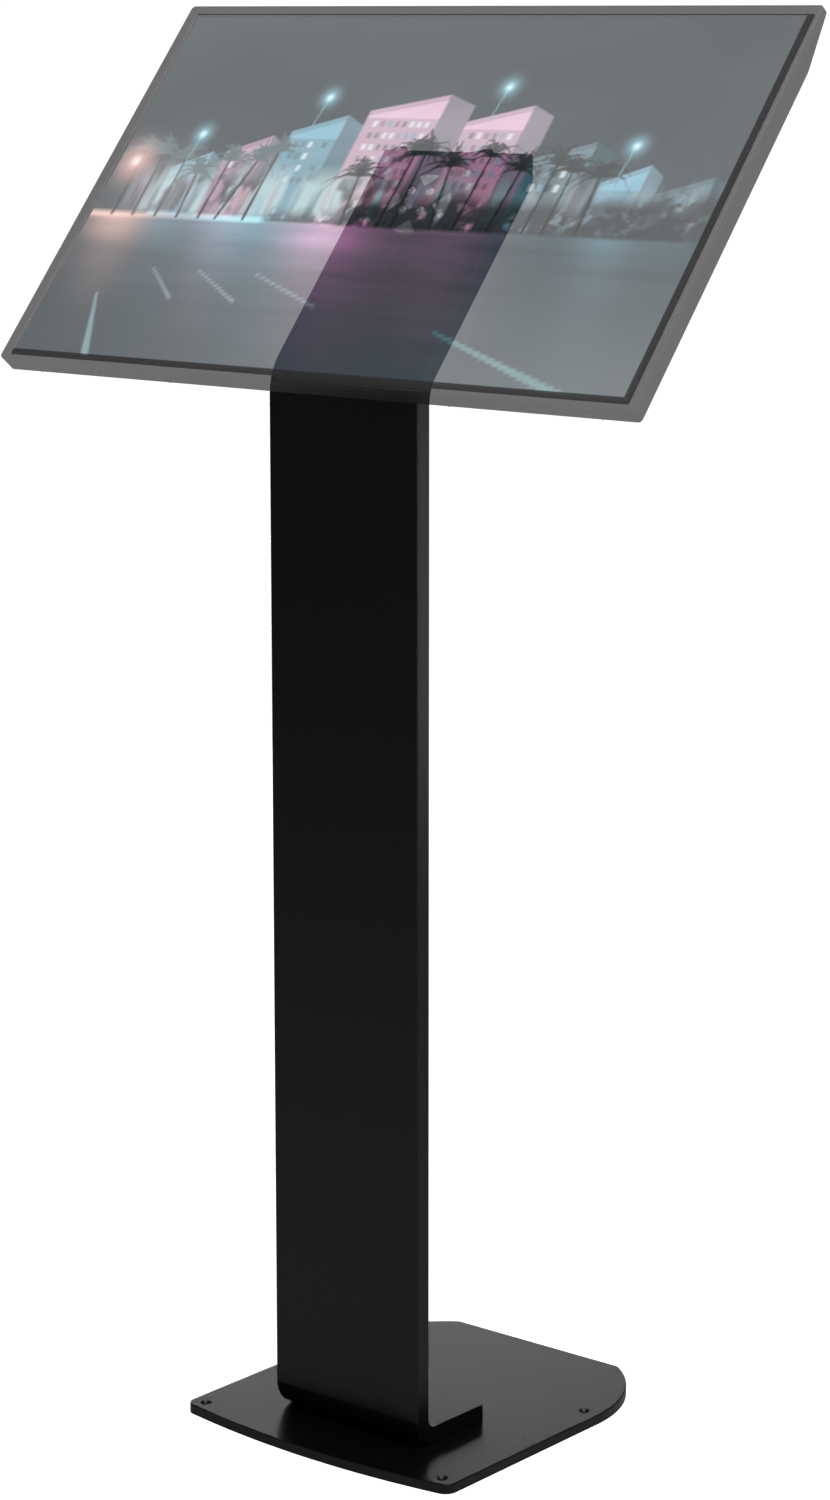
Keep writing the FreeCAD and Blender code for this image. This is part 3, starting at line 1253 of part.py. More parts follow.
def key_board():
    solid = box(KEY_X - 9, KEY_X + 5, KEY_LOW - KEY_BOARD_END, KEY_HIGH + KEY_BOARD_END,
                KEY_BOARD_N, KEY_BOARD_N + BOARD_T)
    half = SWITCH_SIZE / 2
    switches = [box(KEY_X - half, KEY_X + half, l - half, l + half,
                    SHELL_INNER + 2.4 + KEY_TRAVEL, KEY_BOARD_N) for name, l in key_places()]
    return on_head(solid.fuse(switches).removeSplitter())


# ---------------------------------------------------------------- all nodes
PARTS = {
    "base_mat": base_mat, "base_plate": base_plate, "foot_bolts": foot_bolts,
    "foot_clamp_plates": foot_clamp_plates, "column_face_sheet": column_face_sheet,
    "column_rear_cover": column_rear_cover, "head_rear_cover": head_rear_cover,
    "foot_end_plate": foot_end_plate, "head_end_plate": head_end_plate, "cover_tabs": cover_tabs,
    "cover_screws": cover_screws, "head_cover_screws": head_cover_screws,
    "cable_exit_grommet": cable_exit_grommet, "cable_slot_grommet": cable_slot_grommet,
    "access_plug": access_plug, "cable_clips": cable_clips,
    "head_backing_plate": head_backing_plate, "turntable_base": turntable_base,
    "turntable_screws": turntable_screws, "stop_pin": stop_pin,
    "friction_washer": friction_washer, "pivot_bolt": pivot_bolt,
    "spring_washer": spring_washer, "pivot_nut": pivot_nut, "turntable_disc": turntable_disc,
    "spider_plate": spider_plate, "spider_screws": spider_screws, "vesa_screws": vesa_screws,
    "vesa_inserts": vesa_inserts, "rear_housing": rear_housing, "housing_screws": housing_screws,
    "main_board": main_board, "power_board": power_board, "board_standoffs": board_standoffs,
    "port_block": port_block, "dc_power_jack": dc_power_jack,
    "display_back_cover": display_back_cover, "back_cover_screws": back_cover_screws,
    "front_frame": front_frame, "glass_gasket": glass_gasket, "touch_glass": touch_glass,
    "touch_sensor": touch_sensor, "lcd_panel": lcd_panel, "light_guide": light_guide,
    "led_strip": led_strip, "panel_chassis": panel_chassis, "timing_board": timing_board,
    "speakers": speakers, "status_lens": status_lens, "key_board": key_board,
}


def export(name, shape):
    solids = shape.Solids
    assert shape.isValid() and solids, name
    shape.exportStep("parts/" + name + ".step")
    size = shape.BoundBox
    print("%-20s solids %2d  volume %10.0f  size %6.1f %6.1f %6.1f" % (
        name, len(solids), shape.Volume, size.XLength, size.YLength, size.ZLength))


os.makedirs("parts", exist_ok=True)
for name, make in PARTS.items():
    export(name, make())
export("column_cheek_left", column_cheek(-1))
export("column_cheek_right", column_cheek(1))
for name, l in key_places():
    export(name, key(l))
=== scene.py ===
# %% [markdown]
# # A touchscreen kiosk
# A museum kiosk: a steel floor plate, a thin column of bent and welded sheet, and a touch display
# that turns on the column's tilted head. The shapes with a job to do come from the CAD frame, so
# this notebook is about the looks: the paint, the zinc, the plastics and the lit screen, and the
# small round things that a CAD export leaves a little too plain.

# %% Load the CAD frame
import json
import math

import bmesh
import bpy
import numpy as np
from mathutils import Matrix, Vector


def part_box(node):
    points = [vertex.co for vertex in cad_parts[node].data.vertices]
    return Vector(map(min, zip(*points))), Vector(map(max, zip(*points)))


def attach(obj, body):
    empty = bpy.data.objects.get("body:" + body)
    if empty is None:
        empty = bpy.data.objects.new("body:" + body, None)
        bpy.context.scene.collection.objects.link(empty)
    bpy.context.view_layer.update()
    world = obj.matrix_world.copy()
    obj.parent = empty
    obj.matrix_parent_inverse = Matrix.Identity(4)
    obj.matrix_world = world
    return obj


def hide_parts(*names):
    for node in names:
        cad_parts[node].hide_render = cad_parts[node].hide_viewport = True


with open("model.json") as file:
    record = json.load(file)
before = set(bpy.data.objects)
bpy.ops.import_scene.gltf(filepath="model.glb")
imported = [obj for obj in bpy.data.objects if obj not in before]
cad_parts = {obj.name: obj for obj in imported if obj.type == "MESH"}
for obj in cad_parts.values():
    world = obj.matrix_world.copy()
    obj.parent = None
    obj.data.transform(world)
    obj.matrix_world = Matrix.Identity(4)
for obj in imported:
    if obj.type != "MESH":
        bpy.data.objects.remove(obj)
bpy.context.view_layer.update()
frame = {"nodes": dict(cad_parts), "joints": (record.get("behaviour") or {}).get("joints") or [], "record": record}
nodes = frame["nodes"]
MM = 0.001

# %% [markdown]
# Everything on the head is easier to place in the head's own frame: x to the user's right, *up*
# along the head's face and *out* of it. The display's joint already holds that frame, because its
# position is the hub and its axis points straight out of the head.

# %% The head's frame
spin = next(j for j in frame["joints"] if j["name"] == "display_rotation")
HUB = Vector(spin["pos_m"])
OUT = Vector(spin["axis"]).normalized()
ACROSS = Vector((1, 0, 0))
ALONG = OUT.cross(ACROSS)
TO_HEAD = Matrix((ACROSS, ALONG, OUT))


def on_head(across, along, out):
    """A point in the row frame from its place on the head, measured from the hub."""
    return HUB + ACROSS * across + ALONG * along + OUT * out


def head_range(node):
    """Lowest and highest corner of a CAD node in the head's frame, measured from the hub."""
    points = [TO_HEAD @ (v.co - HUB) for v in nodes[node].data.vertices]
    low = Vector(min(p[i] for p in points) for i in range(3))
    high = Vector(max(p[i] for p in points) for i in range(3))
    return low, high


panel_low, panel_high = head_range("lcd_panel")
DISPLAY_ALONG = (panel_low.y + panel_high.y) / 2
PANEL_RIM = 4.0 * MM        # the panel's own edge round the picture
PICTURE_WIDTH = panel_high.x - panel_low.x - 2 * PANEL_RIM
PICTURE_HEIGHT = panel_high.y - panel_low.y - 2 * PANEL_RIM
print("picture %.1f by %.1f mm" % (PICTURE_WIDTH / MM, PICTURE_HEIGHT / MM))

# %% [markdown]
# ## Shader building blocks
# A material is a small network of nodes. Two short helpers keep the building readable: one adds a
# node and fills or links its inputs, the other wraps a network in a *group* with named inputs, so
# that one effect, such as the ripple of powder coat, is written once and used in many finishes.

# %% Helpers for node trees
def put(tree, kind, inputs=None, **settings):
    """Add a node; each input is a plain value or another node's output."""
    node = tree.nodes.new(kind)
    for key, value in settings.items():
        setattr(node, key, value)
    for key, value in (inputs or {}).items():
        if isinstance(value, bpy.types.NodeSocket):
            tree.links.new(value, node.inputs[key])
        else:
            node.inputs[key].default_value = value
    return node


def calc(tree, operation, *values):
    """One math node; returns its output."""
    return put(tree, "ShaderNodeMath", dict(enumerate(values)), operation=operation).outputs[0]


def shader_group(name, inputs, outputs):
    """A group with float inputs {name: default} and outputs {name: socket type}."""
    tree = bpy.data.node_groups.new(name, "ShaderNodeTree")
    for key, default in inputs.items():
        socket = tree.interface.new_socket(key, in_out="INPUT", socket_type="NodeSocketFloat")
        socket.default_value = default
    for key, kind in outputs.items():
        tree.interface.new_socket(key, in_out="OUTPUT", socket_type=kind)
    return tree, tree.nodes.new("NodeGroupInput"), tree.nodes.new("NodeGroupOutput")


def use(tree, group, **values):
    """Place a group in a material with its own values; returns its outputs."""
    node = tree.nodes.new("ShaderNodeGroup")
    node.node_tree = group
    for key, value in values.items():
        node.inputs[key.replace("_", " ")].default_value = value
    return node.outputs


# %% [markdown]
# ### Coat ripple
# Powder coat melts into a skin with a faint orange-peel ripple. It is a height, not a colour: fine
# noise for the peel and a slow one for the sheet's own waviness, both in Object coordinates so
# that they stay put on the steel.

# %% Coat ripple
FLOAT, COLOUR = "NodeSocketFloat", "NodeSocketColor"
ripple, given, result = shader_group("coat ripple", {"Grain": 900.0, "Waviness": 6.0}, {"Height": FLOAT})
place = put(ripple, "ShaderNodeTexCoord").outputs["Object"]
peel = put(ripple, "ShaderNodeTexNoise", {"Vector": place, "Scale": given.outputs["Grain"], "Detail": 2.0})
wave = put(ripple, "ShaderNodeTexNoise", {"Vector": place, "Scale": given.outputs["Waviness"], "Detail": 1.0})
both = calc(ripple, "ADD", peel.outputs["Fac"], calc(ripple, "MULTIPLY", wave.outputs["Fac"], 4.0))
ripple.links.new(both, result.inputs["Height"])

# %% [markdown]
# ### Handling marks, and edge wear with a painted highlight
# Two more effects that every finish shares. *Handling* is a soft cloud of fingerprints, dust and
# wiping that only changes roughness and a little colour. *Edge wear* compares the surface's normal
# with one rounded over a small radius: they differ only at edges, which is where paint wears.
# The lighter colour it gives the edges is partly that wear and partly a painted highlight.

# %% Handling, and edge wear with a painted highlight
handling, given, result = shader_group("handling", {"Scale": 9.0}, {"Mark": FLOAT, "Dust": FLOAT})
place = put(handling, "ShaderNodeTexCoord").outputs["Object"]
cloud = put(handling, "ShaderNodeTexNoise",
            {"Vector": place, "Scale": given.outputs["Scale"], "Detail": 6.0, "Roughness": 0.62})
speck = put(handling, "ShaderNodeTexNoise", {"Vector": place, "Scale": 420.0, "Detail": 3.0})
mark = put(handling, "ShaderNodeMapRange", {"Value": cloud.outputs["Fac"], "From Min": 0.42, "From Max": 0.7})
dust = put(handling, "ShaderNodeMapRange", {"Value": speck.outputs["Fac"], "From Min": 0.66, "From Max": 0.8})
handling.links.new(mark.outputs[0], result.inputs["Mark"])
handling.links.new(dust.outputs[0], result.inputs["Dust"])

# Edge mask: edges get a lighter colour, partly worn paint and partly a painted highlight.
edge_wear_and_highlight, given, result = shader_group("edge rub", {"Radius": 0.0015, "Strength": 1.0}, {"Mask": FLOAT})
soft = put(edge_wear_and_highlight, "ShaderNodeBevel", {"Radius": given.outputs["Radius"]}, samples=4)
true = put(edge_wear_and_highlight, "ShaderNodeNewGeometry").outputs["Normal"]
same = put(edge_wear_and_highlight, "ShaderNodeVectorMath", {0: soft.outputs[0], 1: true}, operation="DOT_PRODUCT")
edge = put(edge_wear_and_highlight, "ShaderNodeMapRange",
           {"Value": same.outputs["Value"], "From Min": 0.995, "From Max": 0.85})
patch = put(edge_wear_and_highlight, "ShaderNodeTexNoise",
            {"Vector": put(edge_wear_and_highlight, "ShaderNodeTexCoord").outputs["Object"], "Scale": 60.0, "Detail": 4.0})
worn_and_lit_edge = calc(edge_wear_and_highlight, "MULTIPLY", edge.outputs[0], patch.outputs["Fac"])
edge_wear_and_highlight.links.new(calc(edge_wear_and_highlight, "MULTIPLY", worn_and_lit_edge, given.outputs["Strength"]), result.inputs["Mask"])

# %% [markdown]
# ### Where on the display
# The printed rim of the glass and the see-through treatment both need to know where a point lies
# on the display. This group turns Object coordinates into the display's own across and along, and
# tells the faces that look backwards from the rest.

# %% Display coordinates
display_place, given, result = shader_group(
    "display place", {}, {"Across": FLOAT, "Along": FLOAT, "Rear": FLOAT})
place = put(display_place, "ShaderNodeTexCoord").outputs["Object"]
normal = put(display_place, "ShaderNodeNewGeometry").outputs["True Normal"]
DISPLAY_CENTRE = on_head(0, DISPLAY_ALONG, 0)
offset = put(display_place, "ShaderNodeVectorMath", {0: place, 1: DISPLAY_CENTRE}, operation="SUBTRACT")


def along_axis(tree, vector, axis):
    """How far a vector reaches along an axis."""
    return put(tree, "ShaderNodeVectorMath", {0: vector, 1: axis}, operation="DOT_PRODUCT").outputs["Value"]


for key, axis in (("Across", ACROSS), ("Along", ALONG)):
    display_place.links.new(along_axis(display_place, offset.outputs[0], axis), result.inputs[key])
facing_back = calc(display_place, "GREATER_THAN", along_axis(display_place, normal, -OUT), 0.5)
display_place.links.new(facing_back, result.inputs["Rear"])

# %% [markdown]
# ## Finishes
# Every finish starts from the same recipe: a base colour, a roughness that the handling marks
# change, a bump from a ripple, and a lighter colour at the edges, partly bare material where
# edges wear and partly a painted highlight. What differs is in the numbers.
#
# The display is presented see-through from the front, so that the mount behind it can be judged.
# Its casing lets part of the light through where it is the first thing in a ray's way, and all of
# it behind that. The Light Path node's transparent depth tells the two apart. Its shadow rays pass
# too, or the mount behind it would stand in the dark. Faces that look backwards stay solid, so from
# behind the display is an ordinary black casing.

# %% The common recipe
SHOW = 0.872                # how solid the see-through casing is


def blank(name):
    """A material with a Principled shader; returns the material, its tree and the shader."""
    material = bpy.data.materials.new(name)
    material.use_nodes = True
    return material, material.node_tree, material.node_tree.nodes["Principled BSDF"]


def first_hit(tree):
    """One where nothing clear lies in front, else zero, and zero for shadows."""
    ray = put(tree, "ShaderNodeLightPath").outputs
    in_front = calc(tree, "LESS_THAN", ray["Transparent Depth"], 0.5)
    return calc(tree, "MINIMUM", in_front, calc(tree, "SUBTRACT", 1.0, ray["Is Shadow Ray"]))


def casing_alpha(tree):
    """Solid from behind, part clear from the front and sides, and absent behind another layer."""
    rear = use(tree, display_place)["Rear"]
    solid = calc(tree, "ADD", calc(tree, "MULTIPLY", rear, 1 - SHOW), SHOW)
    return calc(tree, "MULTIPLY", solid, first_hit(tree))


def colour_mix(tree, mask, a, b):
    node = put(tree, "ShaderNodeMix", data_type="RGBA")
    for index, value in ((0, mask), (6, a), (7, b)):
        if isinstance(value, bpy.types.NodeSocket):
            tree.links.new(value, node.inputs[index])
        else:
            node.inputs[index].default_value = value
    return node.outputs[2]


def rgb(r, g, b):
    return (r, g, b, 1.0)


def finish(name, colour, roughness, bare=None, metallic=0.0, marks=0.12, grain=900.0, waviness=6.0,
           bump=0.02, wear_and_highlight=0.5, wear_and_highlight_radius=0.0012, specular=0.5, seen="solid"):
    """The common recipe. seen is solid, casing (see-through display) or inside (only when bare)."""
    material, tree, shader = blank(name)
    marks_out = use(tree, handling)
    worn_and_lit_edge = use(tree, edge_wear_and_highlight, Radius=wear_and_highlight_radius, Strength=wear_and_highlight)["Mask"]
    dusty = [min(1.0, c * 1.6 + 0.004) for c in colour[:3]] + [1.0]
    dusted = colour_mix(tree, calc(tree, "MULTIPLY", marks_out["Dust"], 0.35), colour, dusty)
    # The edges are lightened here: partly paint worn to the bare colour, partly a painted highlight.
    shade = colour_mix(tree, worn_and_lit_edge, dusted, bare or dusty)
    tree.links.new(shade, shader.inputs["Base Color"])
    shift = calc(tree, "MULTIPLY", marks_out["Mark"], marks)
    tree.links.new(calc(tree, "ADD", roughness, shift), shader.inputs["Roughness"])
    height = use(tree, ripple, Grain=grain, Waviness=waviness)["Height"]
    relief = put(tree, "ShaderNodeBump", {"Height": height, "Strength": bump, "Distance": 0.001})
    tree.links.new(relief.outputs[0], shader.inputs["Normal"])
    shader.inputs["Metallic"].default_value = metallic
    shader.inputs["Specular IOR Level"].default_value = specular
    if seen == "casing":
        tree.links.new(casing_alpha(tree), shader.inputs["Alpha"])
    elif seen == "inside":
        tree.links.new(first_hit(tree), shader.inputs["Alpha"])
    return material


STEEL = rgb(0.42, 0.43, 0.44)
RECIPES = {
    "black_paint": dict(colour=rgb(0.004, 0.004, 0.0043), roughness=0.25, bare=rgb(0.02, 0.02, 0.021),
                        marks=0.025, bump=0.015, wear_and_highlight=0.3),
    "mat_rubber": dict(colour=rgb(0.012, 0.012, 0.012), roughness=0.8, grain=300.0, bump=0.3, wear_and_highlight=0.2),
    "edge_rubber": dict(colour=rgb(0.009, 0.009, 0.009), roughness=0.6, grain=500.0, bump=0.12, wear_and_highlight=0.2),
    "black_steel": dict(colour=rgb(0.012, 0.012, 0.013), roughness=0.34, bare=STEEL, metallic=0.6,
                        bump=0.03, wear_and_highlight=0.6, wear_and_highlight_radius=0.0004),
    "raw_steel": dict(colour=STEEL, roughness=0.32, metallic=1.0, bump=0.06, wear_and_highlight=0.3),
    "nylon": dict(colour=rgb(0.62, 0.6, 0.55), roughness=0.45, bump=0.03, wear_and_highlight=0.1),
    "case_plastic": dict(colour=rgb(0.016, 0.0165, 0.018), roughness=0.42, grain=1500.0, bump=0.22,
                         wear_and_highlight=0.25, specular=0.4),
    "frame_plastic": dict(colour=rgb(0.034, 0.034, 0.035), roughness=0.3, grain=1500.0, bump=0.05,
                          wear_and_highlight=0.2, specular=0.25),
    "key_plastic": dict(colour=rgb(0.03, 0.03, 0.032), roughness=0.28, bump=0.04, wear_and_highlight=0.4),
    "brass": dict(colour=rgb(0.55, 0.40, 0.16), roughness=0.25, metallic=1.0, bump=0.03, wear_and_highlight=0.2),
    "socket_metal": dict(colour=rgb(0.6, 0.6, 0.6), roughness=0.18, metallic=1.0, bump=0.02, wear_and_highlight=0.2),
    "foam": dict(colour=rgb(0.02, 0.02, 0.02), roughness=0.9, grain=700.0, bump=0.4, wear_and_highlight=0.0),
    "lens_plastic": dict(colour=rgb(0.05, 0.008, 0.008), roughness=0.1, bump=0.01, wear_and_highlight=0.1),
    "light_plastic": dict(colour=rgb(0.75, 0.8, 0.85), roughness=0.2, bump=0.02, wear_and_highlight=0.0),
}

# %% [markdown]
# ### Zinc
# The disc at the hub is turned and zinc plated. Turning leaves rings about its axis, so its
# roughness and bump follow the distance from the hub, and the plating adds a faint spangle of
# light and dark grains.

# %% Zinc
ZINC_RINGS = 5200.0         # radians of the ring wave per metre of radius


def zinc(name, seen):
    material, tree, shader = blank(name)
    place = put(tree, "ShaderNodeTexCoord").outputs["Object"]
    arm = put(tree, "ShaderNodeVectorMath", {0: place, 1: HUB}, operation="SUBTRACT").outputs[0]
    flat = put(tree, "ShaderNodeCombineXYZ", {"X": along_axis(tree, arm, ACROSS),
                                              "Y": along_axis(tree, arm, ALONG)}).outputs[0]
    radius = put(tree, "ShaderNodeVectorMath", {0: flat}, operation="LENGTH").outputs["Value"]
    ring = calc(tree, "SINE", calc(tree, "MULTIPLY", radius, ZINC_RINGS))
    grains = put(tree, "ShaderNodeTexVoronoi", {"Vector": place, "Scale": 260.0})
    tone = put(tree, "ShaderNodeSeparateColor", {"Color": grains.outputs["Color"]}).outputs[0]
    shade = colour_mix(tree, calc(tree, "MULTIPLY", tone, 0.4), rgb(0.86, 0.87, 0.88), rgb(0.6, 0.62, 0.65))
    tree.links.new(shade, shader.inputs["Base Color"])
    rough = calc(tree, "ADD", 0.36, calc(tree, "MULTIPLY", ring, 0.05))
    tree.links.new(calc(tree, "ADD", rough, calc(tree, "MULTIPLY", tone, 0.12)), shader.inputs["Roughness"])
    relief = put(tree, "ShaderNodeBump", {"Height": ring, "Strength": 0.08, "Distance": 0.0002})
    tree.links.new(relief.outputs[0], shader.inputs["Normal"])
    shader.inputs["Metallic"].default_value = 0.3
    if seen == "inside":
        tree.links.new(first_hit(tree), shader.inputs["Alpha"])
    return material


# %% [markdown]
# ### Circuit board
# Solder mask over copper: a dark green skin, with brighter tracks where copper runs beneath. A
# brick pattern stretched thin gives runs of parallel tracks that step sideways now and then.

# %% Circuit board
def circuit_board():
    material, tree, shader = blank("circuit board")
    place = put(tree, "ShaderNodeTexCoord").outputs["Object"]
    flat = put(tree, "ShaderNodeCombineXYZ", {"X": along_axis(tree, place, ACROSS),
                                              "Y": along_axis(tree, place, ALONG)}).outputs[0]
    tracks = put(tree, "ShaderNodeTexBrick",
                 {"Vector": flat, "Color1": rgb(0.02, 0.10, 0.04), "Color2": rgb(0.012, 0.07, 0.03),
                  "Mortar": rgb(0.05, 0.2, 0.08), "Scale": 60.0, "Mortar Size": 0.012,
                  "Brick Width": 1.6, "Row Height": 0.12})
    tree.links.new(tracks.outputs["Color"], shader.inputs["Base Color"])
    tree.links.new(calc(tree, "ADD", 0.25, calc(tree, "MULTIPLY", tracks.outputs["Fac"], 0.2)),
                   shader.inputs["Roughness"])
    relief = put(tree, "ShaderNodeBump",
                 {"Height": tracks.outputs["Fac"], "Strength": 0.2, "Distance": 0.0002})
    tree.links.new(relief.outputs[0], shader.inputs["Normal"])
    tree.links.new(first_hit(tree), shader.inputs["Alpha"])
    return material


# %% [markdown]
# ### Cover glass and sensor film
# The glass has a dark rim printed on it, wider than the frame's lip. Inside the rim it is clear,
# with only a trace of gloss. The rim is found from the display coordinates: a point is printed
# where it lies beyond the picture on either axis.

# %% Cover glass
CLEAR = 0.02                # how much of the clear glass shows


def outside_picture(tree):
    """Zero over the picture and one further out, with a soft edge of about a millimetre."""
    spot = use(tree, display_place)
    beyond = []
    for key, half in (("Across", PICTURE_WIDTH / 2), ("Along", PICTURE_HEIGHT / 2)):
        reach = calc(tree, "ABSOLUTE", spot[key])
        edge = put(tree, "ShaderNodeMapRange",
                   {"Value": reach, "From Min": half - 0.6 * MM, "From Max": half + 0.4 * MM})
        beyond.append(edge.outputs[0])
    return calc(tree, "MAXIMUM", *beyond)


def cover_glass():
    """Nearly clear over the picture and a dark print outside it."""
    material, tree, shader = blank("cover glass")
    marks_out = use(tree, handling, Scale=5.0)
    shade = colour_mix(tree, marks_out["Dust"], rgb(0.034, 0.034, 0.034), rgb(0.042, 0.042, 0.043))
    tree.links.new(shade, shader.inputs["Base Color"])
    rough = calc(tree, "ADD", 0.14, calc(tree, "MULTIPLY", marks_out["Mark"], 0.1))
    tree.links.new(rough, shader.inputs["Roughness"])
    solid = calc(tree, "ADD", calc(tree, "MULTIPLY", outside_picture(tree), SHOW - CLEAR), CLEAR)
    tree.links.new(calc(tree, "MULTIPLY", solid, first_hit(tree)), shader.inputs["Alpha"])
    shader.inputs["Specular IOR Level"].default_value = 0.15
    return material


def sensor_film():
    material, tree, shader = blank("sensor film")
    place = put(tree, "ShaderNodeTexCoord").outputs["Object"]
    threads = put(tree, "ShaderNodeTexWave", {"Vector": place, "Scale": 40.0, "Distortion": 0.2})
    shade = colour_mix(tree, threads.outputs["Fac"], rgb(0.2, 0.22, 0.24), rgb(0.3, 0.32, 0.34))
    tree.links.new(shade, shader.inputs["Base Color"])
    tree.links.new(calc(tree, "MULTIPLY", threads.outputs["Fac"], 0.01), shader.inputs["Alpha"])
    return material


# %% [markdown]
# ## The picture
# A kiosk on show runs a picture. This one is made up by rules: a night street in teal, pink and
# blue, with blocks of lit windows, palms, lamps and a wet road that mirrors them. It is painted in
# numpy on a grid of points, back to front, as a scene painter would, and stored as a colour
# attribute on the panel's own mesh, which needs no image file. The rows lie closer together where
# the street is, since that is where the detail is. Each helper returns how much a shape covers each
# grid point, from 0 to 1, with an edge about one grid step soft.

# %% The painter's tools
columns_at = np.linspace(0, 1, 410)
rows_at = np.concatenate([np.linspace(0, 0.355, 50), np.linspace(0.36, 0.80, 150), np.linspace(0.81, 1, 30)])
GRID_X, GRID_Y = len(columns_at), len(rows_at)
across, up = np.meshgrid(columns_at, rows_at)
ASPECT = PICTURE_WIDTH / PICTURE_HEIGHT
SOFT = 0.0035               # the soft edge's width, as a share of the picture's height
dice = np.random.default_rng(11)


def cloud_noise(scale_x, scale_y, seed, octaves=4):
    """Smooth noise from 0 to 1, with about that many blobs across and up."""
    total, weight = np.zeros_like(across), 0.0
    rng = np.random.default_rng(seed)
    for octave in range(octaves):
        nx, ny = int(scale_x * 2 ** octave) + 2, int(scale_y * 2 ** octave) + 2
        knots = rng.random((ny + 1, nx + 1))
        x, y = across * (nx - 1), up * (ny - 1)
        ix, iy = x.astype(int), y.astype(int)
        fx, fy = x - ix, y - iy
        fx, fy = fx * fx * (3 - 2 * fx), fy * fy * (3 - 2 * fy)
        low = knots[iy, ix] * (1 - fx) + knots[iy, ix + 1] * fx
        high = knots[iy + 1, ix] * (1 - fx) + knots[iy + 1, ix + 1] * fx
        total += (low * (1 - fy) + high * fy) * 0.5 ** octave
        weight += 0.5 ** octave
    return total / weight


def ramp(value, low, high):
    """From 0 at low to 1 at high."""
    return np.clip((value - low) / (high - low), 0, 1)


def block(left, right, low, high, rise=0.0):
    """An upright block whose top climbs by rise from left to right."""
    top = high + rise * (across - left) / (right - left)
    sides = ramp(across, left - SOFT / 2, left + SOFT / 2) * ramp(across, right + SOFT / 2, right - SOFT / 2)
    return sides * ramp(up, low - SOFT / 2, low + SOFT / 2) * ramp(up, top + SOFT / 2, top - SOFT / 2)


def stroke(x0, y0, x1, y1, width0, width1=None):
    """A straight line whose width may change along it."""
    dx, dy = (x1 - x0) * ASPECT, y1 - y0
    px, py = (across - x0) * ASPECT, up - y0
    t = np.clip((px * dx + py * dy) / (dx * dx + dy * dy), 0, 1)
    away = np.hypot(px - t * dx, py - t * dy)
    half = (width0 + ((width1 or width0) - width0) * t) / 2
    return np.clip(0.5 - (away - half) / SOFT, 0, 1)


def glow(x, y, radius):
    """A soft round light."""
    return np.exp(-(((across - x) * ASPECT) ** 2 + (up - y) ** 2) / radius ** 2)


# %% [markdown]
# Colours are linear light, not screen values, so they look darker in numbers than on the panel.
# Two ways of laying them down are enough: paint covers what is there, and shine adds to it.

# %% The painter's colours
INK, LEAF = (0.012, 0.020, 0.024), (0.022, 0.034, 0.038)
PINK, ROSE, CYAN = (0.56, 0.26, 0.43), (0.36, 0.15, 0.31), (0.02, 0.33, 0.48)
TEAL, PALE, WARM = (0.01, 0.12, 0.16), (0.66, 0.78, 0.82), (0.75, 0.30, 0.20)
picture = np.zeros((GRID_Y, GRID_X, 3))


def paint(cover, colour, strength=1.0):
    """Lay a colour over the picture."""
    cover = (cover * strength)[..., None]
    picture[:] = picture * (1 - cover) + np.asarray(colour) * cover


def shine(cover, colour, strength=1.0):
    """Add light to the picture."""
    picture[:] = picture + (cover * strength)[..., None] * np.asarray(colour)


# %% [markdown]
# The street is laid out by walking along the kerb: each step draws a block's width, height and
# colour, taller and pinker towards the middle. The same list later gives the lamps their roofs and
# the wet road its reflections.

# %% Sky, blocks and road
KERB = 0.405                # height of the street's foot, as a share of the picture's height
SKY = (0.030, 0.058, 0.074)


def lay_out_street():
    blocks, left = [], 0.10
    while left < 1.0:
        middle = math.exp(-((left - 0.45) / 0.22) ** 2)
        width = 0.07 + 0.06 * dice.random() + 0.07 * middle
        height = 0.13 + 0.05 * dice.random() + 0.20 * middle
        pinkness = dice.random() < 0.35 + 0.5 * middle
        colour = (PINK if middle > 0.6 else ROSE) if pinkness else (CYAN if dice.random() < 0.5 else TEAL)
        blocks.append((left, min(left + width, 1.02), KERB + height, colour))
        left += width
    return blocks


street = lay_out_street()


def paint_sky():
    haze = cloud_noise(3, 3, seed=1)
    for channel, value in enumerate(SKY):
        picture[..., channel] = value * (0.75 + 0.6 * haze)
    shine(ramp(up, 0.95, 0.35), (0.0, 0.006, 0.012))


def paint_windows(left, right, low, high):
    """A grid of panes, about two in three of them lit."""
    columns, rows = max(1, int((right - left) / 0.011)), max(0, int((high - low) / 0.032))
    width, height = (right - left) / columns, (high - low) / max(1, rows)
    for row in range(rows):
        for column in range(columns):
            lit = dice.random()
            x, y = left + (column + 0.2) * width, low + (row + 0.25) * height
            paint(block(x, x + width * 0.55, y, y + height * 0.5),
                  PALE if lit > 0.72 else (CYAN if lit > 0.45 else INK), 0.45 + 0.4 * lit)


def paint_block(left, right, top, colour):
    """A lit front, its shaded return on the right, a roof edge and rows of windows."""
    turn = left + 0.72 * (right - left)
    shade = [c * 0.35 + t * 0.5 for c, t in zip(colour, TEAL)]
    paint(block(left, turn, KERB, top - 0.03, rise=0.05), colour)
    paint(block(turn, right, KERB, top + 0.02, rise=-0.03), shade)
    shine(block(left, turn, top - 0.05, top - 0.045, rise=0.05), colour, 0.5)
    paint_windows(left + 0.012, turn - 0.01, KERB + 0.10, top - 0.05)


def paint_blocks():
    for left, right, top, colour in street:
        paint_block(left, right, top, colour)
    wear = cloud_noise(10, 12, seed=9)
    walls = block(street[0][0], 1.0, KERB, 0.9) * (picture.sum(2) > 0.25)
    shine(walls * wear, (0.10, 0.09, 0.12))


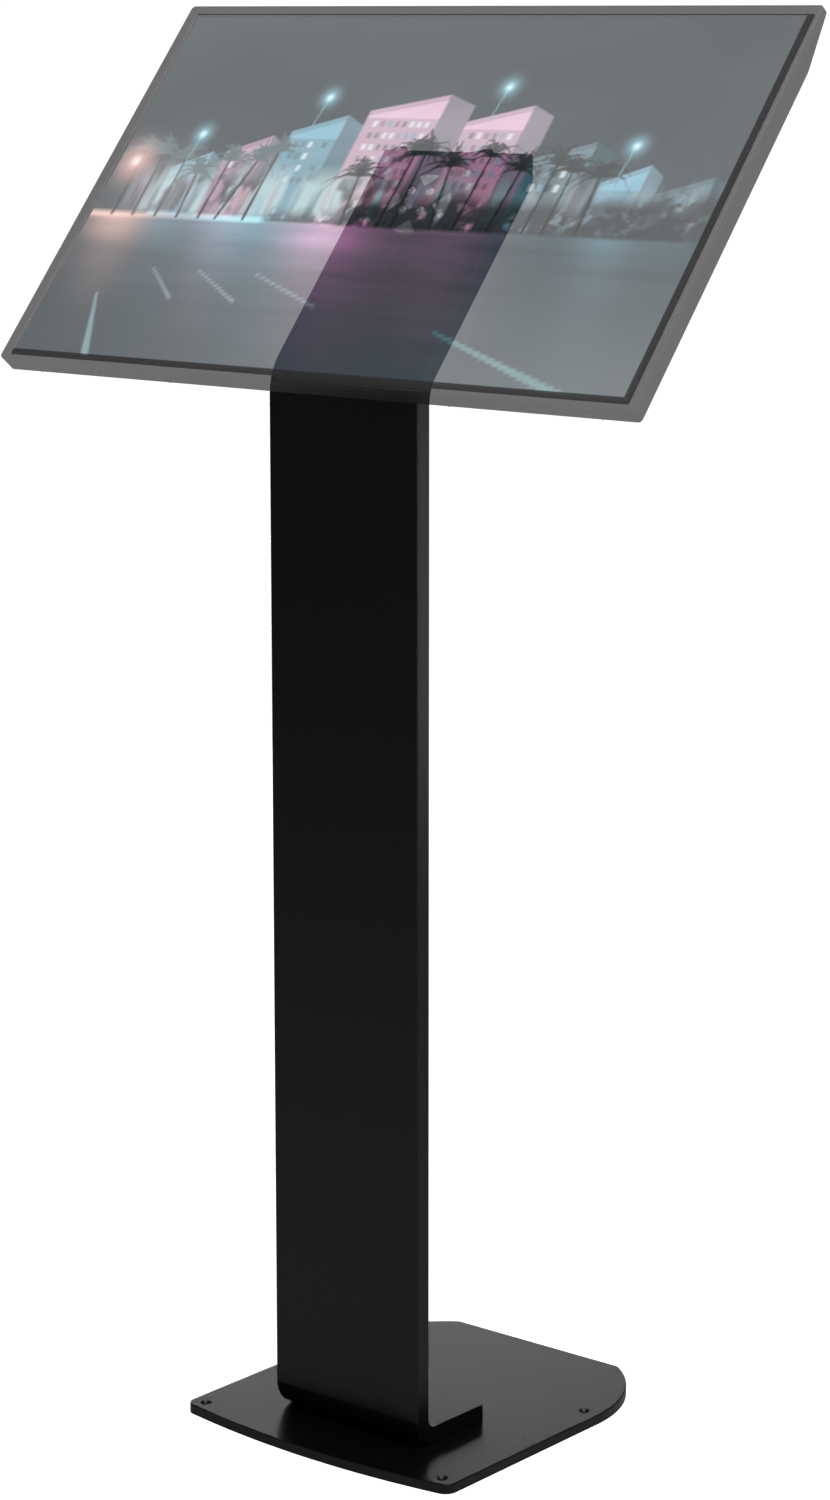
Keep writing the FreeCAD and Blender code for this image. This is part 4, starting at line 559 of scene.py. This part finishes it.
def paint_road():
    """Wet tarmac: each block's colour runs down it, brighter where it is wet."""
    road, depth = ramp(up, KERB + SOFT, KERB), ramp(up, KERB, 0.0)
    wet = cloud_noise(3, 22, seed=4)
    paint(road, (0.012, 0.040, 0.058))
    shine(road * depth * ramp(across, 0.1, 0.9), (0.065, 0.080, 0.080))
    for left, right, top, colour in street:
        middle, half = (left + right) / 2, (right - left) * 0.55
        column = np.exp(-((across - middle - 0.05 * depth) / half) ** 2)
        reach = 4.5 - 7.0 * (top - KERB)
        shine(road * column * np.exp(-depth * reach) * (0.25 + 1.1 * wet), colour, 0.5)
    for x, wide, glare in ((0.26, 0.07, CYAN), (0.41, 0.06, (0.8, 0.25, 0.65)), (0.05, 0.05, WARM)):
        run = np.exp(-((across - x - 0.05 * depth) / wide) ** 2 - depth * 5.0)
        shine(road * run * (0.3 + 1.2 * wet), glare, 1.0)


def paint_lanes():
    """Lane lines that meet at one vanishing point."""
    meet_x, meet_y = 0.02, KERB + 0.06
    for x, near, bright in ((0.13, 0.62, 0.8), (0.93, 0.72, 0.8), (2.2, 0.50, 0.35), (3.6, 0.30, 0.3)):
        far_x, far_y = meet_x + (x - meet_x) * near, meet_y * (1 - near)
        paint(stroke(far_x, far_y, x, -0.02, 0.006, 0.024), (0.10, 0.36, 0.42), bright)
    for x in (0.34, 0.52, 0.74):
        far_x, far_y = meet_x + (x - meet_x) * 0.45, meet_y * 0.55
        paint(stroke(far_x, far_y, meet_x + (x - meet_x) * 0.62, meet_y * 0.38, 0.004, 0.008),
              (0.30, 0.45, 0.50), 0.5)


# %% [markdown]
# The street level is the busiest part: bright shop fronts, a ragged hedge, and palms whose fronds
# arch out and droop. A frond is three short strokes that thin towards the tip.

# %% Shop fronts, hedge, palms and lamps
def paint_shops():
    """The bright street front under the palms."""
    flicker = cloud_noise(60, 4, seed=12)
    band = ramp(across, 0.03, 0.12) * ramp(up, 0.41, 0.425) * ramp(up, 0.57, 0.50)
    band = band * (0.25 + 0.75 * ramp(across, 0.75, 0.45))
    paint(band * ramp(flicker, 0.38, 0.62), (0.34, 0.66, 0.70), 0.9)
    paint(band * ramp(cloud_noise(45, 5, seed=13), 0.55, 0.75), (0.62, 0.30, 0.36), 0.6)
    paint(band * ramp(cloud_noise(30, 8, seed=14), 0.54, 0.64), INK, 0.8)
    kerb = ramp(up, KERB - 0.012, KERB - 0.002) * ramp(up, KERB + 0.014, KERB + 0.004)
    for x, reach, colour in ((0.0, 0.14, WARM), (0.27, 0.10, (0.10, 0.65, 0.75)),
                             (0.43, 0.05, (0.8, 0.2, 0.6))):
        shine(kerb * np.exp(-((across - x) / reach) ** 2), colour)


def paint_hedge(left, right, high, seed, strength):
    """A ragged bank of leaves on the kerb."""
    crest = KERB + (high - KERB) * (0.35 + 0.65 * cloud_noise(14, 1, seed=seed))
    inside = ramp(across, left, left + 0.015) * ramp(across, right, right - 0.015)
    cover = inside * ramp(up, crest + 0.02, crest - 0.02) * ramp(up, KERB - 0.012, KERB)
    paint(cover * ramp(cloud_noise(70, 40, seed=seed + 1), 0.28, 0.46), LEAF, strength)


def paint_palm(x, top, spread, leaf, fronds=15):
    """A trunk and a crown of fronds that arch out and droop."""
    lean = dice.normal(0, 0.006)
    paint(stroke(x, KERB, x + lean, top, 0.009, 0.006), INK, 0.95)
    for i in range(fronds):
        turn = math.pi * (i + 0.5) / fronds
        reach = spread * (0.7 + 0.5 * dice.random())
        drop = spread * (0.10 + 0.75 * dice.random())
        before_x, before_y = x + lean, top
        for t in (0.35, 0.7, 1.0):
            next_x = x + lean + math.cos(turn) * reach * t / ASPECT
            next_y = top + math.sin(turn) * reach * 0.75 * math.sin(t * 2.2) - drop * t * t
            frond = stroke(before_x, before_y, next_x, next_y, 0.012 * (1.15 - t), 0.010 * (1.1 - t))
            paint(frond, leaf, 0.85)
            before_x, before_y = next_x, next_y


def paint_planting():
    paint_hedge(0.42, 0.98, 0.52, 21, 0.9)
    paint_hedge(0.30, 0.70, 0.45, 27, 0.9)
    paint_hedge(0.80, 1.02, 0.56, 25, 0.8)
    for x in np.arange(0.04, 0.30, 0.038):
        paint_palm(x + dice.normal(0, 0.005), 0.53 + 0.09 * dice.random(), 0.08, (0.05, 0.15, 0.16))
    for x in np.arange(0.44, 0.84, 0.048):
        paint_palm(x + dice.normal(0, 0.008), 0.54 + 0.07 * dice.random(), 0.09, LEAF)


def paint_lamps():
    """A lamp on a mast over every other roof, and a warm glow far down the street."""
    for left, right, top, colour in street[::2]:
        x, y = left + 0.3 * (right - left), top + 0.07
        paint(stroke(x - 0.006, top - 0.02, x, y, 0.004), (0.05, 0.40, 0.50), 0.7)
        shine(glow(x, y, 0.024), (0.02, 0.42, 0.55))
        shine(glow(x, y, 0.009), (0.5, 0.8, 0.8))
    shine(glow(0.03, 0.56, 0.05), (0.75, 0.25, 0.18))
    shine(glow(0.03, 0.56, 0.014), (0.6, 0.6, 0.5))
    shine(glow(0.10, 0.48, 0.10), (0.10, 0.05, 0.05))


for step in (paint_sky, paint_blocks, paint_road, paint_lanes, paint_shops, paint_planting, paint_lamps):
    step()
print(len(street), "blocks on", GRID_X, "by", GRID_Y, "points, mean colour", picture.mean((0, 1)).round(3))

# %% [markdown]
# The see-through look of such a presentation is a fade: a quarter of what is behind is mixed into
# three quarters of the picture. Fades are worked out in screen values, which are not steps of
# light, so a bright part of the picture lets more light through than a dark part. The share that
# passes is worked out here for each point and kept in the colour attribute's alpha.

# %% The fade
FADE = 0.25
LUMA = np.array([0.3, 0.55, 0.15])      # how much red, green and blue count for brightness


def to_screen(light):
    light = np.clip(light, 0, 1)
    return np.where(light <= 0.0031308, light * 12.92, 1.055 * light ** (1 / 2.4) - 0.055)


def to_light(screen):
    return np.where(screen <= 0.04045, screen / 12.92, ((screen + 0.055) / 1.055) ** 2.4)


faded = to_screen(picture) * (1 - FADE)
brightness = faded @ LUMA
passed = to_light(brightness + FADE) - to_light(brightness)
shown_light = to_light(faded) / (1 - passed)[..., None]
print("light let through: %.2f to %.2f" % (passed.min(), passed.max()))

# %% [markdown]
# ## The panel
# The LCD panel itself is a thin slab. Its front is a grid of faces, one point for each painted
# point, and its back and edges are plain. The colour rides on the points as an attribute.

# %% The panel and its picture
DOT_COLUMNS = 2600.0        # the panel's fine upright lines, in radians of their wave per metre
BEHIND_FILM = 0.1 * MM      # two faces in one place would flicker, so the picture lies just behind
PANEL_BLACK, RIM_GREY = rgb(0.006, 0.006, 0.006), rgb(0.034, 0.034, 0.035)


def make_panel():
    low, high = panel_low.copy(), panel_high.copy()
    high.z -= BEHIND_FILM
    mesh_tool = bmesh.new()
    xs = (columns_at - 0.5) * PICTURE_WIDTH
    ys = (rows_at - 0.5) * PICTURE_HEIGHT + DISPLAY_ALONG
    grid = [[mesh_tool.verts.new(on_head(x, y, high.z)) for x in xs] for y in ys]
    for row in range(GRID_Y - 1):
        for column in range(GRID_X - 1):
            mesh_tool.faces.new((grid[row][column], grid[row][column + 1],
                                 grid[row + 1][column + 1], grid[row + 1][column])).smooth = True
    outline = [(low.x, low.y), (high.x, low.y), (high.x, high.y), (low.x, high.y)]
    front = [mesh_tool.verts.new(on_head(x, y, high.z)) for x, y in outline]
    back = [mesh_tool.verts.new(on_head(x, y, low.z)) for x, y in outline]
    sides = [grid[0], [line[-1] for line in grid], grid[-1][::-1], [line[0] for line in grid][::-1]]
    for i, side in enumerate(sides):
        j = (i + 1) % 4
        mesh_tool.faces.new([front[i], front[j]] + side[::-1])
        mesh_tool.faces.new((back[i], back[j], front[j], front[i]))
    mesh_tool.faces.new(back[::-1])
    mesh = bpy.data.meshes.new("lcd_picture_panel")
    mesh_tool.to_mesh(mesh)
    mesh_tool.free()
    colours = np.zeros((len(mesh.vertices), 4), np.float32)
    colours[:, 3] = SHOW
    colours[:GRID_X * GRID_Y, :3] = shown_light.reshape(-1, 3)
    colours[:GRID_X * GRID_Y, 3] = 1 - passed.ravel()
    layer = mesh.color_attributes.new("picture", "FLOAT_COLOR", "POINT")
    layer.data.foreach_set("color", colours.ravel())
    panel = bpy.data.objects.new("lcd_picture_panel", mesh)
    bpy.context.scene.collection.objects.link(panel)
    print("panel has", len(mesh.polygons), "faces")
    return panel


def lit_picture():
    """The panel's own light: the painted colour on the picture, and a dark rim round it."""
    material, tree, shader = blank("lit picture")
    stored = put(tree, "ShaderNodeAttribute", attribute_name="picture").outputs
    spot = use(tree, display_place)
    columns = calc(tree, "SINE", calc(tree, "MULTIPLY", spot["Across"], DOT_COLUMNS))
    rim = outside_picture(tree)
    shown = calc(tree, "SUBTRACT", 1.0, rim)
    level = calc(tree, "MULTIPLY", shown, calc(tree, "ADD", 1.0, calc(tree, "MULTIPLY", columns, 0.02)))
    lit = put(tree, "ShaderNodeVectorMath", {0: stored["Color"], "Scale": level},
              operation="SCALE").outputs[0]
    tree.links.new(lit, shader.inputs["Emission Color"])
    shader.inputs["Emission Strength"].default_value = 1.0
    ground = colour_mix(tree, rim, PANEL_BLACK, RIM_GREY)
    tree.links.new(ground, shader.inputs["Base Color"])
    shader.inputs["Roughness"].default_value = 0.6
    shader.inputs["Specular IOR Level"].default_value = 0.0
    ray = put(tree, "ShaderNodeLightPath").outputs
    hidden = calc(tree, "MAXIMUM", put(tree, "ShaderNodeNewGeometry").outputs["Backfacing"],
                  ray["Is Shadow Ray"])
    seen = calc(tree, "MULTIPLY", calc(tree, "SUBTRACT", 1.0, hidden), stored["Alpha"])
    tree.links.new(seen, shader.inputs["Alpha"])
    material.cycles.emission_sampling = "NONE"
    return material


panel = make_panel()
panel.data.materials.append(lit_picture())
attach(panel, "display")
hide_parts("lcd_panel")

# %% [markdown]
# ## Button screws
# Socket button screws hold the covers, the mount and the display together. One geometry node tree
# makes the screw: a squashed sphere cut flat at its base for the head, a hexagon sunk into it and
# a shank below. It stands a copy on every point it is given. The points come from the CAD screws,
# so each new screw sits exactly where its CAD solid does.

# %% Where the CAD screws stand
def islands(node):
    """The points of each separate solid in a CAD node, from a merged copy of its mesh."""
    tool = bmesh.new()
    tool.from_mesh(nodes[node].data)
    bmesh.ops.remove_doubles(tool, verts=tool.verts, dist=1e-6)
    found, waiting = [], set(tool.verts)
    for first in tool.verts:            # in the mesh's order, so that every run gives the same order
        if first not in waiting:
            continue
        waiting.remove(first)
        ready, solid = [first], []
        while ready:
            vert = ready.pop()
            solid.append(vert.co.copy())
            linked = {edge.other_vert(vert) for edge in vert.link_edges} & waiting
            waiting -= linked
            ready += linked
        found.append(solid)
    tool.free()
    return found


def screw_tops(node, facing):
    """The middle of each screw's head, at its highest point, and the screws' whole length."""
    side = facing.cross(ACROSS)
    tops, length = [], 0.0
    for solid in islands(node):
        spans = [(min(p.dot(a) for p in solid), max(p.dot(a) for p in solid)) for a in (ACROSS, side, facing)]
        x, y = [(low + high) / 2 for low, high in spans[:2]]
        tops.append(ACROSS * x + side * y + facing * spans[2][1])
        length = spans[2][1] - spans[2][0]
    return tops, length


# %% The screw's node tree
def screw_tree():
    tree = bpy.data.node_groups.new("button screws", "GeometryNodeTree")
    tree.interface.new_socket("Points", in_out="INPUT", socket_type="NodeSocketGeometry")
    for name in ("Head Radius", "Head Height", "Shank Radius", "Shank Length", "Key Radius"):
        tree.interface.new_socket(name, in_out="INPUT", socket_type="NodeSocketFloat")
    tree.interface.new_socket("Facing", in_out="INPUT", socket_type="NodeSocketVector")
    tree.interface.new_socket("Finish", in_out="INPUT", socket_type="NodeSocketMaterial")
    tree.interface.new_socket("Screws", in_out="OUTPUT", socket_type="NodeSocketGeometry")
    given, result = tree.nodes.new("NodeGroupInput").outputs, tree.nodes.new("NodeGroupOutput")

    def moved(mesh, z):
        place = put(tree, "ShaderNodeCombineXYZ", {"Z": z}).outputs[0]
        return put(tree, "GeometryNodeTransform", {"Geometry": mesh, "Translation": place}).outputs[0]

    def joined(operation, first, second):
        node = tree.nodes.new("GeometryNodeMeshBoolean")
        node.operation = operation
        tree.links.new(first, node.inputs["Mesh 1" if operation == "DIFFERENCE" else "Mesh 2"])
        tree.links.new(second, node.inputs["Mesh 2"])
        return node.outputs[0]

    height = given["Head Height"]
    ball = put(tree, "GeometryNodeMeshUVSphere", {"Segments": 32, "Rings": 20, "Radius": 1.0}).outputs[0]
    squash = put(tree, "ShaderNodeCombineXYZ",
                 {"X": given["Head Radius"], "Y": given["Head Radius"], "Z": height}).outputs[0]
    dome = put(tree, "GeometryNodeTransform", {"Geometry": ball, "Scale": squash}).outputs[0]
    keep = put(tree, "GeometryNodeMeshCylinder",
               {"Vertices": 32, "Radius": calc(tree, "MULTIPLY", given["Head Radius"], 1.2),
                "Depth": calc(tree, "MULTIPLY", height, 2.0)}).outputs[0]
    dome = joined("INTERSECT", dome, moved(keep, height))
    key = put(tree, "GeometryNodeMeshCylinder",
              {"Vertices": 6, "Radius": given["Key Radius"], "Depth": height}).outputs[0]
    dome = joined("DIFFERENCE", dome, moved(key, calc(tree, "MULTIPLY", height, 0.9)))
    shank = put(tree, "GeometryNodeMeshCylinder",
                {"Vertices": 20, "Radius": given["Shank Radius"], "Depth": given["Shank Length"]}).outputs[0]
    sunk = calc(tree, "MULTIPLY_ADD", given["Shank Length"], -0.5, 0.00005)
    screw = joined("UNION", dome, moved(shank, sunk))
    turn = put(tree, "FunctionNodeAlignRotationToVector", {"Vector": given["Facing"]}, axis="Z").outputs[0]
    placed = put(tree, "GeometryNodeInstanceOnPoints",
                 {"Points": given["Points"], "Instance": screw, "Rotation": turn}).outputs[0]
    real = put(tree, "GeometryNodeRealizeInstances", {"Geometry": placed}).outputs[0]
    done = put(tree, "GeometryNodeSetMaterial", {"Geometry": real, "Material": given["Finish"]}).outputs[0]
    tree.links.new(done, result.inputs[0])
    return tree


# %% Make the screws
button_screws = screw_tree()
SMALL = dict(head=1.6 * MM, shank=1.5 * MM, key=2.0 * MM, radius=2.75 * MM)
SCREWS = {
    "cover_screws": (Vector((0, 1, 0)), SMALL),
    "head_cover_screws": (-OUT, SMALL),
    "back_cover_screws": (-OUT, SMALL),
    "housing_screws": (-OUT, SMALL),
    "spider_screws": (OUT, dict(head=2.75 * MM, shank=2.5 * MM, key=4.0 * MM, radius=4.75 * MM)),
    "vesa_screws": (-OUT, dict(head=2.2 * MM, shank=2.0 * MM, key=2.5 * MM, radius=3.8 * MM)),
}


def make_screws(node, facing, size, finish_used):
    tops, length = screw_tops(node, facing)
    mesh = bpy.data.meshes.new(node + "_points")
    mesh.from_pydata([top - facing * size["head"] for top in tops], [], [])
    screws = bpy.data.objects.new(node + "_turned", mesh)
    bpy.context.scene.collection.objects.link(screws)
    modifier = screws.modifiers.new("screws", "NODES")
    modifier.node_group = button_screws
    values = {"Head Radius": size["radius"], "Head Height": size["head"], "Shank Radius": size["shank"],
              "Shank Length": length - size["head"], "Key Radius": size["key"] / math.sqrt(3),
              "Facing": tuple(facing), "Finish": finish_used}
    for socket in button_screws.interface.items_tree:
        if socket.in_out == "INPUT" and socket.name in values:
            modifier[socket.identifier] = values[socket.name]
    made_mesh = bpy.data.meshes.new_from_object(screws.evaluated_get(bpy.context.evaluated_depsgraph_get()))
    made_mesh.name = node + "_turned"
    made_mesh.shade_smooth()
    made_mesh.set_sharp_from_angle(angle=math.radians(35))
    screws.modifiers.remove(modifier)
    screws.data = made_mesh
    print(node, len(tops), "screws", len(made_mesh.polygons), "faces")
    return screws


# %% [markdown]
# ## Dressing the CAD nodes
# The record says which finish each node has. A node of the display takes the see-through version
# of its finish; the hub's disc, the mounting arms and their screws stay solid, because they are
# what the see-through display is meant to reveal.

# %% Assign the finishes
REVEALED = {"turntable_disc", "spider_plate", "spider_screws"}
CASING = {"front_frame", "display_back_cover", "rear_housing", "back_cover_screws", "housing_screws",
          "status_lens"}
slot_of = {p["node"]: p["material_slot"] for p in frame["record"]["subparts"]}
body_of = {n: body for body, names in frame["record"]["behaviour"]["bodies"].items() for n in names}
SPECIAL = {"board_green": circuit_board, "cover_glass": cover_glass, "sensor_film": sensor_film,
           "lcd": lit_picture}
made = {}


def how_seen(node):
    if body_of[node] == "stand" or node in REVEALED:
        return "solid"
    return "casing" if node in CASING or body_of[node] != "display" else "inside"


def finish_for(slot, seen):
    """Make each finish once for each way of being seen."""
    if (slot, seen) not in made:
        if slot == "zinc_steel":
            made[slot, seen] = zinc("zinc " + seen, seen)
        elif slot in SPECIAL:
            made[slot, seen] = SPECIAL[slot]()
        else:
            made[slot, seen] = finish(slot.replace("_", " ") + " " + seen, seen=seen, **RECIPES[slot])
    return made[slot, seen]


for name, node in nodes.items():
    node.data.materials.clear()
    node.data.materials.append(finish_for(slot_of[name], how_seen(name)))
for name, (facing, size) in SCREWS.items():
    screws = make_screws(name, facing, size, finish_for(slot_of[name], how_seen(name)))
    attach(screws, body_of[name])
    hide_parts(name)
print(len(nodes), "nodes dressed in", len(made), "finishes")

# %% [markdown]
# ## Studio
# A white floor and a white surround, lit so softly that the floor nearly vanishes. What a black
# object looks like is mostly what it mirrors, so the surround that reflections see is much darker
# than the one the camera sees, and a few large soft boxes give the steel its gradients: one
# overhead, one low on the left behind the column for the floor plate, one that lies on the floor
# to the right for the column's side, a narrow one in front for the edges, and a small one with a
# tight beam for the zinc disc of the hub. That one stands where no face mirrors it to the camera,
# so it brightens the matt zinc and leaves the glossy black behind it dark.

# %% Floor and surround
FLOOR_HALF = 14.0           # metres
SURROUND_SEEN, SURROUND_MIRRORED = 1.05, 0.06


def make_floor():
    tool = bmesh.new()
    bmesh.ops.create_grid(tool, x_segments=2, y_segments=2, size=FLOOR_HALF)
    mesh = bpy.data.meshes.new("studio_floor")
    tool.to_mesh(mesh)
    tool.free()
    floor = bpy.data.objects.new("studio_floor", mesh)
    bpy.context.scene.collection.objects.link(floor)
    material, tree, shader = blank("studio floor")
    shader.inputs["Base Color"].default_value = rgb(0.6, 0.6, 0.6)
    shader.inputs["Roughness"].default_value = 0.9
    shader.inputs["Specular IOR Level"].default_value = 0.0
    camera_ray = put(tree, "ShaderNodeLightPath").outputs["Is Camera Ray"]
    white = put(tree, "ShaderNodeCombineColor", {"Red": camera_ray, "Green": camera_ray, "Blue": camera_ray})
    tree.links.new(white.outputs[0], shader.inputs["Emission Color"])
    shader.inputs["Emission Strength"].default_value = 1.0
    material.cycles.emission_sampling = "NONE"
    mesh.materials.append(material)


def make_surround():
    world = bpy.data.worlds.new("surround")
    world.use_nodes = True
    tree = world.node_tree
    camera_ray = put(tree, "ShaderNodeLightPath").outputs["Is Camera Ray"]
    level = put(tree, "ShaderNodeMix", {0: camera_ray, 2: SURROUND_MIRRORED, 3: SURROUND_SEEN},
                data_type="FLOAT").outputs[0]
    tree.links.new(level, tree.nodes["Background"].inputs["Strength"])
    tree.nodes["Background"].inputs["Color"].default_value = rgb(1.0, 1.0, 1.0)
    bpy.context.scene.world = world


def soft_box(name, at, towards, width, height, brightness, spread=180.0):
    """A large lamp; its power follows from its area and how bright its face looks."""
    light = bpy.data.lights.new(name, "AREA")
    light.shape, light.size, light.size_y = "RECTANGLE", width, height
    light.energy = brightness * math.pi * width * height
    light.spread = math.radians(spread)
    light.cycles.use_multiple_importance_sampling = False
    box = bpy.data.objects.new(name, light)
    box.location = at
    box.rotation_euler = (Vector(towards) - Vector(at)).to_track_quat("-Z", "Y").to_euler()
    box.visible_camera = False
    bpy.context.scene.collection.objects.link(box)


make_floor()
make_surround()
soft_box("overhead_box", (0.9, -0.2, 3.4), (0.1, 0.0, 0.0), 2.4, 2.4, 2.6)
soft_box("floor_panel", (4.6, 5.6, 0.03), (4.6, 5.6, 1.0), 7.0, 7.0, 0.8)
soft_box("left_rear_box", (-2.6, 1.75, 0.8), (0.0, 0.0, 0.4), 3.0, 1.5, 0.8)
soft_box("edge_box", (3.0, -2.4, 0.5), (0.0, 0.0, 0.5), 1.2, 1.8, 2.4)
soft_box("hub_box", HUB + Vector((1.1, -1.7, 1.3)), HUB, 1.2, 1.2, 0.42, spread=24.0)

# %% [markdown]
# ## Camera
# The camera stands to the user's right, a little above the screen's middle, with a long lens.

# %% Camera
column_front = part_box("column_face_sheet")[0].y
plate_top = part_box("base_plate")[1].z
CAMERA_AWAY = Vector((2.1393, -2.4778, 1.3025))     # from the foot of the column's front face
CAMERA_TURN, CAMERA_DROP = 39.67, 11.28             # degrees
SENSOR = 36.0
LENS = 88.5
camera = bpy.data.objects.new("camera", bpy.data.cameras.new("camera"))
camera.data.sensor_width = SENSOR
camera.data.lens = LENS
camera.location = Vector((0, column_front, plate_top)) + CAMERA_AWAY
camera.rotation_euler = (math.radians(90 - CAMERA_DROP), 0, math.radians(CAMERA_TURN))
bpy.context.scene.collection.objects.link(camera)
bpy.context.scene.camera = camera

# %% [markdown]
# The see-through display has many clear layers, so a ray may pass more of them than usual. The
# view transform is the plain one, which keeps white white.

# %% Settings that the looks need
scene = bpy.context.scene
scene.view_settings.view_transform = "Standard"
scene.cycles.transparent_max_bounces = 64
scene.cycles.min_transparent_bounces = 64
